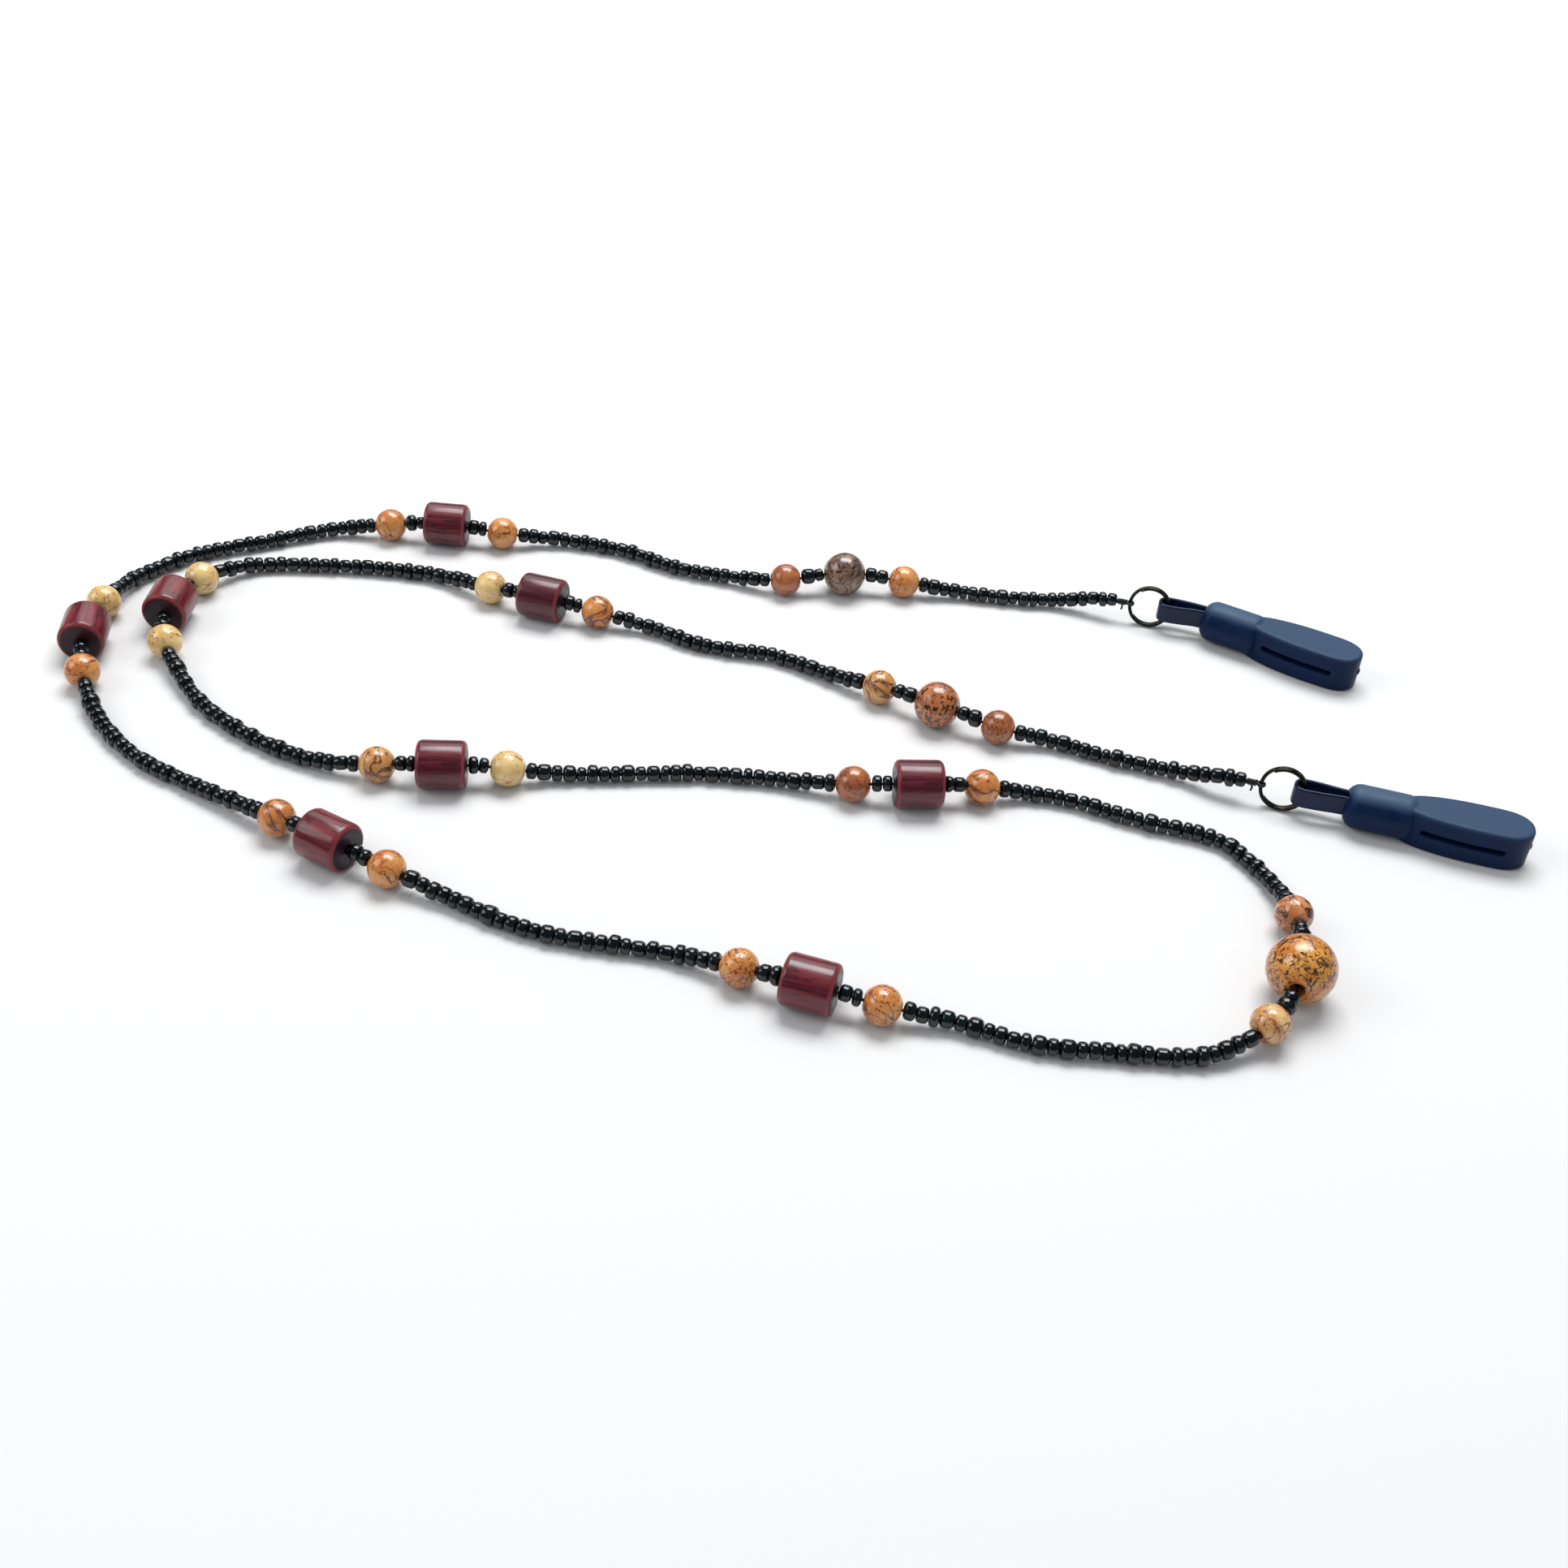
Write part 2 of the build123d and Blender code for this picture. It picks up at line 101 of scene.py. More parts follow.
# %% The route's heights and points
SEEDS = 0.0014
STONE = 0.00315
WOOD = 0.00439
MEDIUM = 0.00436
LIFTED_STONE = 0.00345
LARGE = 0.00607
ROUTE = [
    (0.0585, 0.0531, 0.0036),
    (0.0527, 0.0544, 0.0016),
    (0.0437, 0.054, SEEDS),
    (0.0332, 0.0547, SEEDS),
    (0.0224, 0.0543, STONE),
    (0.0109, 0.0548, MEDIUM),
    (0.0, 0.051, STONE),
    (-0.0113, 0.0537, SEEDS),
    (-0.0213, 0.0553, SEEDS),
    (-0.0323, 0.0609, SEEDS),
    (-0.0443, 0.0626, SEEDS),
    (-0.0552, 0.06, STONE),
    (-0.066, 0.0609, WOOD),
    (-0.0768, 0.0603, STONE),
    (-0.0878, 0.0599, SEEDS),
    (-0.0993, 0.0533, SEEDS),
    (-0.1113, 0.0471, SEEDS),
    (-0.1195, 0.0373, SEEDS),
    (-0.1213, 0.0266, STONE),
    (-0.1212, 0.0158, WOOD),
    (-0.118, 0.0053, STONE),
    (-0.1122, -0.005, SEEDS),
    (-0.1031, -0.0146, SEEDS),
    (-0.0895, -0.0215, SEEDS),
    (-0.0755, -0.0288, STONE),
    (-0.0663, -0.0343, WOOD),
    (-0.0563, -0.0387, STONE),
    (-0.0448, -0.0429, SEEDS),
    (-0.0333, -0.0483, SEEDS),
    (-0.0213, -0.0495, SEEDS),
    (-0.0113, -0.0503, SEEDS),
    (-0.0017, -0.054, STONE),
    (0.0087, -0.0573, WOOD),
    (0.0192, -0.0595, STONE),
    (0.0302, -0.0598, SEEDS),
    (0.0417, -0.0637, SEEDS),
    (0.0537, -0.0633, SEEDS),
    (0.0652, -0.0636, SEEDS),
    (0.0757, -0.0579, LIFTED_STONE),
    (0.0817, -0.0473, LARGE),
    (0.0829, -0.0329, LIFTED_STONE),
    (0.0806, -0.0223, SEEDS),
    (0.0743, -0.0132, SEEDS),
    (0.0622, -0.0109, SEEDS),
    (0.0507, -0.0065, SEEDS),
    (0.0427, -0.0054, SEEDS),
    (0.0353, -0.0069, STONE),
    (0.0247, -0.009, WOOD),
    (0.014, -0.0091, STONE),
    (0.0032, -0.0073, SEEDS),
    (-0.0103, -0.0069, SEEDS),
    (-0.0238, -0.0091, SEEDS),
    (-0.0343, -0.0105, SEEDS),
    (-0.0423, -0.0119, STONE),
    (-0.0527, -0.0137, WOOD),
    (-0.0633, -0.0138, STONE),
    (-0.0748, -0.0123, SEEDS),
    (-0.0868, -0.0067, SEEDS),
    (-0.0975, 0.0015, SEEDS),
    (-0.1073, 0.0156, STONE),
    (-0.1098, 0.0263, WOOD),
    (-0.107, 0.0369, STONE),
    (-0.1001, 0.045, SEEDS),
    (-0.0883, 0.0465, SEEDS),
    (-0.0758, 0.0473, SEEDS),
    (-0.0648, 0.0465, SEEDS),
    (-0.0543, 0.0409, STONE),
    (-0.0441, 0.0375, WOOD),
    (-0.0337, 0.0357, STONE),
    (-0.0243, 0.0348, SEEDS),
    (-0.0138, 0.0297, SEEDS),
    (-0.0008, 0.0291, SEEDS),
    (0.0082, 0.0243, SEEDS),
    (0.0181, 0.0192, STONE),
    (0.028, 0.0138, MEDIUM),
    (0.0385, 0.0095, STONE),
    (0.0487, 0.0095, SEEDS),
    (0.0587, 0.0056, SEEDS),
    (0.0692, 0.0033, 0.0016),
    (0.0754, 0.0003, 0.0036),
]
print(len(ROUTE), "points steer the thread between its knots")

# %% [markdown]
# ## Frames of the two ends
#
# The hinge of each clip lies at its ring's centre, and the hinge of each ring lies where
# the knot grips the wire. The line from one to the other is the ring's own X axis, and
# the clip's hinge axis is the ring's Y axis, turned about. A 4 by 4 matrix keeps the
# place and the three directions together, so a piece can be modelled round the origin
# and then put where it belongs in one step.

# %% Work out each end's frames
def frame_matrix(place, x_axis, z_hint):
    """A matrix whose X is x_axis and whose Z is as near to z_hint as it can be."""
    x = Vector(x_axis).normalized()
    y = Vector(z_hint).cross(x).normalized()
    z = x.cross(y)
    turned = Matrix((x, y, z)).transposed().to_4x4()
    return Matrix.Translation(place) @ turned


def facing(along):
    """A turn that brings Z to face along a direction."""
    return along.to_track_quat("Z", "Y").to_matrix().to_4x4()


UP = Vector((0, 0, 1))
ENDS = {}
for side in "ab":
    centre = Vector(joints[f"clip_{side}_lift"]["pos_m"])
    tie = Vector(joints[f"ring_{side}_swing"]["pos_m"])
    ring_y = -Vector(joints[f"clip_{side}_lift"]["axis"])
    across = Vector(mounts[f"temple_slot_{side}"]["axis"])
    ENDS[side] = {
        "radius": (centre - tie).length,
        "ring": frame_matrix(centre, centre - tie, (centre - tie).cross(ring_y)),
        "upright": frame_matrix(centre, centre - tie, UP),
        "slot": frame_matrix(mounts[f"temple_slot_{side}"]["pos_m"], across.cross(UP), UP),
    }
    print("end", side, "ring centre in mm", [round(v / MM, 1) for v in centre])

# %% [markdown]
# ## Small helpers for modelling
#
# An operator acts on whatever is selected, so each step starts from nothing selected.
# In edit mode the parts to work on are then picked by where they are. A finished piece
# is put in its place through its mesh, and its object stays at the origin, which keeps
# patterns that read object coordinates still.

# %% Selecting, picking and placing
WELD = 0.0005 * MM


def only(piece):
    """Selects this object alone and makes it active."""
    bpy.ops.object.select_all(action="DESELECT")
    piece.select_set(True)
    bpy.context.view_layer.objects.active = piece


def edit(piece):
    """Opens the piece in edit mode with nothing selected."""
    only(piece)
    bpy.ops.object.mode_set(mode="EDIT")
    bpy.ops.mesh.select_mode(type="VERT")
    bpy.ops.mesh.select_all(action="DESELECT")


def done():
    bpy.ops.object.mode_set(mode="OBJECT")


def pick(piece, kind, test):
    """Selects the vertices, edges or faces that pass the test, and nothing else."""
    bpy.ops.mesh.select_mode(type={"verts": "VERT", "edges": "EDGE", "faces": "FACE"}[kind])
    bpy.ops.mesh.select_all(action="DESELECT")
    mesh = bmesh.from_edit_mesh(piece.data)
    chosen = [element for element in getattr(mesh, kind) if test(element)]
    for element in chosen:
        element.select_set(True)
    mesh.select_flush_mode()
    bmesh.update_edit_mesh(piece.data)
    return len(chosen)


def is_open(edge):
    return edge.is_boundary


def place(piece, matrix):
    """Puts the piece in its place through its mesh."""
    piece.data.transform(piece.matrix_basis)
    piece.matrix_basis = Matrix.Identity(4)
    piece.data.transform(matrix)
    piece.data.update()


def copy_of(piece, name):
    """A copy with a mesh of its own."""
    twin = piece.copy()
    twin.data = piece.data.copy()
    twin.name = name
    bpy.context.scene.collection.objects.link(twin)
    return twin


def outward(piece):
    """Joins doubled vertices and turns every face outward."""
    edit(piece)
    bpy.ops.mesh.select_all(action="SELECT")
    bpy.ops.mesh.remove_doubles(threshold=WELD)
    bpy.ops.mesh.normals_make_consistent(inside=False)
    done()


def smooth(piece, angle):
    """Shades the faces smooth where they meet at less than this angle in degrees."""
    only(piece)
    bpy.ops.object.shade_smooth_by_angle(angle=math.radians(angle))


def apply_all(piece):
    only(piece)
    for modifier in list(piece.modifiers):
        bpy.ops.object.modifier_apply(modifier=modifier.name)


def curve_along(name, kind, path):
    """A curve object with one spline, which has the path's points."""
    line = bpy.data.curves.new(name, "CURVE")
    line.dimensions = "3D"
    spline = line.splines.new(kind)
    spline.points.add(len(path) - 1)
    for target, point in zip(spline.points, path):
        target.co = (*point, 1.0)
    made = bpy.data.objects.new(name, line)
    bpy.context.scene.collection.objects.link(made)
    return made


def meshed(made):
    """Turns a curve into a mesh and gives the piece back."""
    only(made)
    bpy.ops.object.convert(target="MESH")
    return bpy.context.object


BODY_OF = {
    member: body
    for body, members in frame["record"]["behaviour"]["bodies"].items()
    for member in members
}


def stands_for(piece, packed):
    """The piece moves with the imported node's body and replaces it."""
    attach(piece, BODY_OF[packed])
    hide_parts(packed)
    return piece


print("helpers ready")

# %% [markdown]
# ## Helpers for materials
#
# A material is a small network of nodes. Two helpers keep each network short to read:
# one adds a node with its settings, and one joins an output to an input. Colours are
# written as screen values from 0 to 255 and turned into the linear values that the
# renderer needs.

# %% Nodes, links and colours
def colour(red, green, blue):
    """Screen values from 0 to 255 as a linear colour."""
    linear = []
    for value in (red / 255, green / 255, blue / 255):
        linear.append(value / 12.92 if value <= 0.04045 else ((value + 0.055) / 1.055) ** 2.4)
    return (*linear, 1.0)


def node(tree, kind, inputs=None, **settings):
    """Adds a node. inputs maps a socket's name or number to its value."""
    made = tree.nodes.new(kind)
    for name, value in settings.items():
        setattr(made, name, value)
    for socket, value in (inputs or {}).items():
        made.inputs[socket].default_value = value
    return made


def link(tree, output, target):
    tree.links.new(output, target)


def remap(tree, value, low, high, new_low=0.0, new_high=1.0):
    """A smooth step of a value from one range to another."""
    step = node(tree, "ShaderNodeMapRange", interpolation_type="SMOOTHSTEP")
    step.inputs["From Min"].default_value = low
    step.inputs["From Max"].default_value = high
    step.inputs["To Min"].default_value = new_low
    step.inputs["To Max"].default_value = new_high
    link(tree, value, step.inputs["Value"])
    return step.outputs["Result"]


def blend_colours(tree, mask, under, over):
    """The colour between under and over, by a mask. Each is a colour or a node's output."""
    mix = node(tree, "ShaderNodeMix", data_type="RGBA")
    link(tree, mask, mix.inputs[0])
    for source, socket in ((under, mix.inputs[6]), (over, mix.inputs[7])):
        if isinstance(source, bpy.types.NodeSocket):
            link(tree, source, socket)
        else:
            socket.default_value = source
    return mix.outputs[2]


def new_material(name, **shader):
    """A material with a Principled shader whose sockets are set by name."""
    material = bpy.data.materials.new(name)
    material.use_nodes = True
    principled = material.node_tree.nodes["Principled BSDF"]
    for socket, value in shader.items():
        principled.inputs[socket.replace("_", " ")].default_value = value
    return material, material.node_tree, principled


def bump(tree, height, principled, strength, distance):
    """Raises the surface a little where the height is high."""
    raised = node(tree, "ShaderNodeBump", {"Strength": strength, "Distance": distance})
    link(tree, height, raised.inputs["Height"])
    link(tree, raised.outputs["Normal"], principled.inputs["Normal"])


def dress(piece, material):
    piece.data.materials.clear()
    piece.data.materials.append(material)


print("orange as a linear colour", [round(v, 3) for v in colour(200, 120, 50)])

# %% [markdown]
# ## A shared figure for natural surfaces
#
# Polished stone, lacquered wood, glass and metal all vary over their surface in the same
# few ways: broad clouds of tone, patches with an edge, thin veins and fine specks. One
# node group works all four out from noise and gives them as masks. Each material places
# the group with its own scales and uses only the masks that it needs.

# %% Build the figure group
def group_socket(group, name, way, kind="NodeSocketFloat", value=None):
    socket = group.interface.new_socket(name=name, in_out=way, socket_type=kind)
    if value is not None:
        socket.default_value = value
    return socket


def build_figure():
    group = bpy.data.node_groups.new("surface_figure", "ShaderNodeTree")
    group_socket(group, "Vector", "INPUT", "NodeSocketVector")
    for name, value in (
        ("Cloud Scale", 190.0),
        ("Patch Scale", 150.0),
        ("Patch Level", 0.55),
        ("Vein Scale", 180.0),
        ("Vein Width", 0.02),
        ("Speck Scale", 2500.0),
        ("Speck Level", 0.67),
    ):
        group_socket(group, name, "INPUT", value=value)
    for name in ("Cloud", "Patch", "Vein", "Speck"):
        group_socket(group, name, "OUTPUT")
    source = node(group, "NodeGroupInput")
    result = node(group, "NodeGroupOutput")

    def noise(scale, detail, distortion, shift):
        moved = node(group, "ShaderNodeVectorMath", {1: shift}, operation="ADD")
        link(group, source.outputs["Vector"], moved.inputs[0])
        made = node(group, "ShaderNodeTexNoise", {"Detail": detail, "Distortion": distortion})
        link(group, moved.outputs[0], made.inputs["Vector"])
        link(group, source.outputs[scale], made.inputs["Scale"])
        return made.outputs["Fac"]

    def over(value, level, softness):
        """1 where the value passes the level, with a soft edge."""
        above = node(group, "ShaderNodeMath", operation="SUBTRACT")
        link(group, value, above.inputs[0])
        link(group, source.outputs[level], above.inputs[1])
        return remap(group, above.outputs[0], 0.0, softness)

    cloud = noise("Cloud Scale", 4.0, 0.9, (0.0, 0.0, 0.0))
    link(group, remap(group, cloud, 0.36, 0.64), result.inputs["Cloud"])
    patch = noise("Patch Scale", 7.0, 1.4, (0.31, 0.17, 0.05))
    link(group, over(patch, "Patch Level", 0.1), result.inputs["Patch"])
    speck = noise("Speck Scale", 2.0, 0.2, (0.07, 0.23, 0.41))
    link(group, over(speck, "Speck Level", 0.03), result.inputs["Speck"])

    vein = noise("Vein Scale", 5.0, 1.1, (0.53, 0.09, 0.27))
    middle = node(group, "ShaderNodeMath", {1: 0.5}, operation="SUBTRACT")
    link(group, vein, middle.inputs[0])
    ridge = node(group, "ShaderNodeMath", operation="ABSOLUTE")
    link(group, middle.outputs[0], ridge.inputs[0])
    share = node(group, "ShaderNodeMath", operation="DIVIDE")
    link(group, ridge.outputs[0], share.inputs[0])
    link(group, source.outputs["Vein Width"], share.inputs[1])
    link(group, remap(group, share.outputs[0], 0.2, 1.0, 1.0, 0.0), result.inputs["Vein"])
    return group


FIGURE = build_figure()
print("figure group has", len(FIGURE.nodes), "nodes")


# %% Place the figure in a material
def figure(tree, centre=(0, 0, 0), turn=(0, 0, 0), stretch=(1, 1, 1), **values):
    """The figure group, read from object coordinates about a centre, turned and stretched."""
    coordinates = node(tree, "ShaderNodeTexCoord")
    local = node(tree, "ShaderNodeMapping", vector_type="TEXTURE")
    local.inputs["Location"].default_value = centre
    local.inputs["Rotation"].default_value = turn
    link(tree, coordinates.outputs["Object"], local.inputs["Vector"])
    scaled = node(tree, "ShaderNodeVectorMath", {1: stretch}, operation="MULTIPLY")
    link(tree, local.outputs["Vector"], scaled.inputs[0])
    group = node(tree, "ShaderNodeGroup", node_tree=FIGURE)
    for socket, value in values.items():
        group.inputs[socket.replace("_", " ")].default_value = value
    link(tree, scaled.outputs[0], group.inputs["Vector"])
    return group.outputs, local.outputs["Vector"]


print("the figure can be placed")

# %% [markdown]
# ## Lay the thread
#
# The curve is made without thickness first. Its line, read back as a row of points, tells
# later which way each bead faces. Then it gets its round section.

# %% Make the thread's curve
THREAD_DIAMETER = 0.5 * MM
TIE_RADIUS = 0.675 * MM
KNOT_LENGTH = 1.5 * MM


def exit_point(side):
    """Where the thread leaves the knot: behind the ring, in line with it."""
    end = ENDS[side]
    behind = end["radius"] + TIE_RADIUS + THREAD_DIAMETER / 2 + KNOT_LENGTH
    return end["upright"] @ Vector((-behind, 0, 0))


points = [exit_point("a")] + [Vector(point) for point in ROUTE] + [exit_point("b")]
beading_thread = curve_along("beading_thread", "NURBS", points)
line = beading_thread.data
spline = line.splines[0]
for target in spline.points:
    target.radius = THREAD_DIAMETER / 2
spline.order_u = 3
spline.use_endpoint_u = True
line.resolution_u = 12
print(len(points), "control points")

# %% Read the line back and give the thread its thickness
bpy.context.view_layer.update()
row = bpy.data.meshes.new_from_object(beading_thread)
THREAD_LINE = [vertex.co.copy() for vertex in row.vertices]
length = sum((b - a).length for a, b in zip(THREAD_LINE, THREAD_LINE[1:]))
line.bevel_depth = 1.0
line.bevel_resolution = 3
line.use_fill_caps = True
print("thread length in mm", round(length / MM, 1))

stands_for(beading_thread, "thread")


def direction_near(point):
    """The thread's direction where it passes nearest to a point."""
    spans = range(len(THREAD_LINE) - 1)
    nearest = min(spans, key=lambda i: (THREAD_LINE[i] + THREAD_LINE[i + 1] - 2 * point).length)
    return (THREAD_LINE[nearest + 1] - THREAD_LINE[nearest]).normalized()


print("thread starts towards", [round(v, 2) for v in direction_near(points[0])])

# %% [markdown]
# ## Black thread and its material
#
# Beading thread is waxed and twisted, so it shines a little along its strands. A wave of
# bands that leans across the thread is enough for its twist, because it is only half a
# millimetre thick and shows in the gaps and at the knots.

# %% Thread material
def thread_material():
    material, tree, shader = new_material("waxed_thread", Roughness=0.55)
    masks, local = figure(tree, Cloud_Scale=900.0, Speck_Scale=6000.0, Speck_Level=0.5)
    base = blend_colours(tree, masks["Cloud"], colour(8, 10, 13), colour(24, 28, 32))
    link(tree, base, shader.inputs["Base Color"])
    link(tree, remap(tree, masks["Speck"], 0, 1, 0.45, 0.7), shader.inputs["Roughness"])
    bands = {"Scale": 900.0, "Distortion": 1.0}
    twist = node(tree, "ShaderNodeTexWave", bands, bands_direction="DIAGONAL")
    link(tree, local, twist.inputs["Vector"])
    bump(tree, twist.outputs["Fac"], shader, 0.5, 0.06 * MM)
    return material


THREAD_BLACK = thread_material()
dress(beading_thread, THREAD_BLACK)
print("thread dressed")

# %% [markdown]
# ## Glass seed beads
#
# Seed beads are slices of drawn glass tube, fire-polished until their rims are round. No
# two are alike: some are long, some are thin rings, and some were cut at a slant. Three
# blanks are modelled, and each of the hundreds of seeds is a copy of one of them, so a
# blank has only a few dozen faces.
#
# An open tube is a good start. Its two rims are grown inwards in three steps, two for the
# rounded shoulder and one for the face round the bore, and the last two rims are bridged
# to make the bore. The profile gives each step's radius and height, as shares of the seed's
# own radius and half length.

# %% Model the seed blanks
SEED_SIDES = 10
SEED_PROFILE = [
    (0.93, 0.7),
    (0.66, 1.0),
    (0.4, 0.92),
]


def grow_rims(piece, width, height):
    """Grows both open rims, then resizes the new rims in width and in height."""
    pick(piece, "edges", is_open)
    bpy.ops.mesh.extrude_edges_move()
    bpy.ops.transform.resize(value=(width, width, height), center_override=(0, 0, 0))


def seed_blank(name, waist, slant):
    """A seed of radius 1 and half length 1 along Z, which is straight as far as the waist."""
    bpy.ops.object.select_all(action="DESELECT")
    bpy.ops.mesh.primitive_cylinder_add(
        vertices=SEED_SIDES, radius=1, depth=2 * waist, end_fill_type="NOTHING"
    )
    piece = bpy.context.object
    piece.name = name
    edit(piece)
    radius, height = 1.0, waist
    for next_radius, next_height in SEED_PROFILE:
        grow_rims(piece, next_radius / radius, next_height / height)
        radius, height = next_radius, next_height
    pick(piece, "edges", is_open)
    bpy.ops.mesh.bridge_edge_loops()
    done()
    for vertex in piece.data.vertices:
        vertex.co.z += slant * vertex.co.x
    outward(piece)
    smooth(piece, 75)
    return piece


SEED_BLANKS = [
    seed_blank("seed_blank_round", 0.22, 0.0),
    seed_blank("seed_blank_long", 0.42, 0.04),
    seed_blank("seed_blank_slanted", 0.34, 0.1),
]
print("faces in a seed", [len(blank.data.polygons) for blank in SEED_BLANKS])

# %% [markdown]
# Each packed seed node is a row of loose tubes. Splitting a copy of it gives one part for
# each seed, and each part says where its seed is, how long it is and how wide. A blank is
# then turned to face along the thread and stretched to those sizes. A slight tilt, a slight
# change of width and a small step off the thread, drawn from a seeded random source, make
# the row look strung by hand. The copies are joined, so a run stays one piece.

# %% Thread the seeds
chance = random.Random(7)
SEED_TILT = 6.0
SEED_WIDTH_SPREAD = (0.03, 0.19)
SEED_LIFT = 0.12 * MM
SEED_SHIFT = 0.12 * MM


def tilted():
    """A slight random tilt, in all three directions."""
    angles = [math.radians(chance.uniform(-SEED_TILT, SEED_TILT)) for _ in range(3)]
    return Euler(angles).to_matrix().to_4x4()


def loose_parts(node_name):
    """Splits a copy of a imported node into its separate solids."""
    whole = copy_of(frame["nodes"][node_name], node_name + "_split")
    whole.parent = None
    edit(whole)
    bpy.ops.mesh.select_all(action="SELECT")
    bpy.ops.mesh.remove_doubles(threshold=WELD)
    bpy.ops.mesh.separate(type="LOOSE")
    done()
    return list(bpy.context.selected_objects)


def seed_at(part):
    """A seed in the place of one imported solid."""
    corners = [vertex.co for vertex in part.data.vertices]
    middle = sum(corners, Vector()) / len(corners)
    along = direction_near(middle)
    reach = max((corner - middle).dot(along) for corner in corners)
    width = max((corner - middle).cross(along).length for corner in corners)
    width *= 1 + chance.uniform(*SEED_WIDTH_SPREAD)
    tilt = tilted()
    spin = Matrix.Rotation(chance.uniform(0, math.tau), 4, "Z")
    turned = facing(along) @ tilt @ spin
    shift = Vector((chance.uniform(-SEED_SHIFT, SEED_SHIFT), 0, 0))
    aside = turned @ shift + UP * SEED_LIFT
    made = copy_of(chance.choice(SEED_BLANKS), "seed")
    made.data.transform(Matrix.Diagonal((width, width, reach, 1)))
    made.data.transform(Matrix.Translation(middle + aside) @ turned)
    made.data.update()
    return made


def seed_run(node_name):
    parts = loose_parts(node_name)
    seeds = [seed_at(part) for part in parts]
    for part in parts:
        bpy.data.objects.remove(part)
    only(seeds[0])
    for made in seeds:
        made.select_set(True)
    bpy.ops.object.join()
    run = bpy.context.object
    run.name = node_name.replace("seed", "glass_seed")
    return stands_for(run, node_name), len(seeds)


SEED_RUNS = []
seed_total = 0
for node_name in sorted(frame["nodes"]):
    if node_name.startswith(("seed_run", "spacer_seeds")):
        run, count = seed_run(node_name)
        SEED_RUNS.append(run)
        seed_total += count
for blank in SEED_BLANKS:
    bpy.data.objects.remove(blank)
print(seed_total, "seeds in", len(SEED_RUNS), "runs")

# %% [markdown]
# The glass is black with a touch of blue-green, and so dark that it looks opaque. What
# shows is its polish, so the work is in the roughness: mostly a clear gloss, with softer
# patches where the fire-polish is uneven.

# %% Seed glass material
def seed_glass():
    material, tree, shader = new_material("seed_glass_black", IOR=1.52)
    masks, local = figure(tree, Cloud_Scale=420.0, Patch_Scale=700.0, Patch_Level=0.56)
    tint = blend_colours(tree, masks["Cloud"], colour(5, 8, 12), colour(8, 22, 27))
    tint = blend_colours(tree, masks["Patch"], tint, colour(14, 15, 19))
    link(tree, tint, shader.inputs["Base Color"])
    link(tree, remap(tree, masks["Patch"], 0, 1, 0.06, 0.14), shader.inputs["Roughness"])
    waves = node(tree, "ShaderNodeTexNoise", {"Scale": 900.0, "Detail": 1.0})
    link(tree, local, waves.inputs["Vector"])
    bump(tree, waves.outputs["Fac"], shader, 0.2, 0.1 * MM)
    return material


SEED_GLASS = seed_glass()
for run in SEED_RUNS:
    dress(run, SEED_GLASS)
print("seeds dressed")

# %% [markdown]
# ## Where each accent bead sits
#
# Stones and barrels can turn on the thread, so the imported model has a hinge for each.
# The hinge gives the bead's middle and the direction of its bore, which is all that is
# needed to place it.

# %% Read the accent beads' places
BEADS = {}
for name, joint in joints.items():
    if name.startswith("spin_"):
        turned = facing(Vector(joint["axis"]).normalized())
        BEADS[name.removeprefix("spin_")] = Matrix.Translation(joint["pos_m"]) @ turned
print(len(BEADS), "accent beads")

# %% [markdown]
# ## Polished stones
#
# The stones are ground round and drilled. Two things give them away as drilled stone: a
# small cone where the drill went in, and a rim that the polishing has rounded. A sphere
# is opened at both poles, and each opening is grown inwards in steps, first for the rounded
# rim, then for the cone, and then down the bore, where the two ends are bridged.

# %% Model a stone of any size
STONE_MOUTH = 0.95
STONE_RIM = (0.88, 0.995)
STONE_CONE = (0.75, 0.96)


def stone(name, diameter, bore, segments):
    """A drilled ball with its bore along Z."""
    bpy.ops.object.select_all(action="DESELECT")
    bpy.ops.mesh.primitive_uv_sphere_add(
        segments=segments, ring_count=segments // 2, radius=diameter / 2
    )
    piece = bpy.context.object
    piece.name = name
    edit(piece)
    pick(piece, "verts", lambda v: math.hypot(v.co.x, v.co.y) < STONE_MOUTH * bore)
    bpy.ops.mesh.delete(type="VERT")
    grow_rims(piece, *STONE_RIM)
    grow_rims(piece, *STONE_CONE)
    pick(piece, "edges", is_open)
    bpy.ops.mesh.bridge_edge_loops()
    done()
    outward(piece)
    smooth(piece, 50)
    return piece


STONE_BLANKS = {
    "small": stone("stone_blank_small", 6.0 * MM, 1.0 * MM, 48),
    "medium": stone("stone_blank_medium", 8.0 * MM, 1.0 * MM, 56),
    "large": stone("stone_blank_large", 10.5 * MM, 1.6 * MM, 72),
}
print("faces in a stone", [len(blank.data.polygons) for blank in STONE_BLANKS.values()])

# %% [markdown]
# The stones are picture jasper and its relatives: warm tan, orange and brown, with soft
# clouds, sharper patches, fine dark veins and specks. No two match, so each stone has its
# own colours and its own turn of the shared figure. A clear coat over the colour stands
# for the polish.

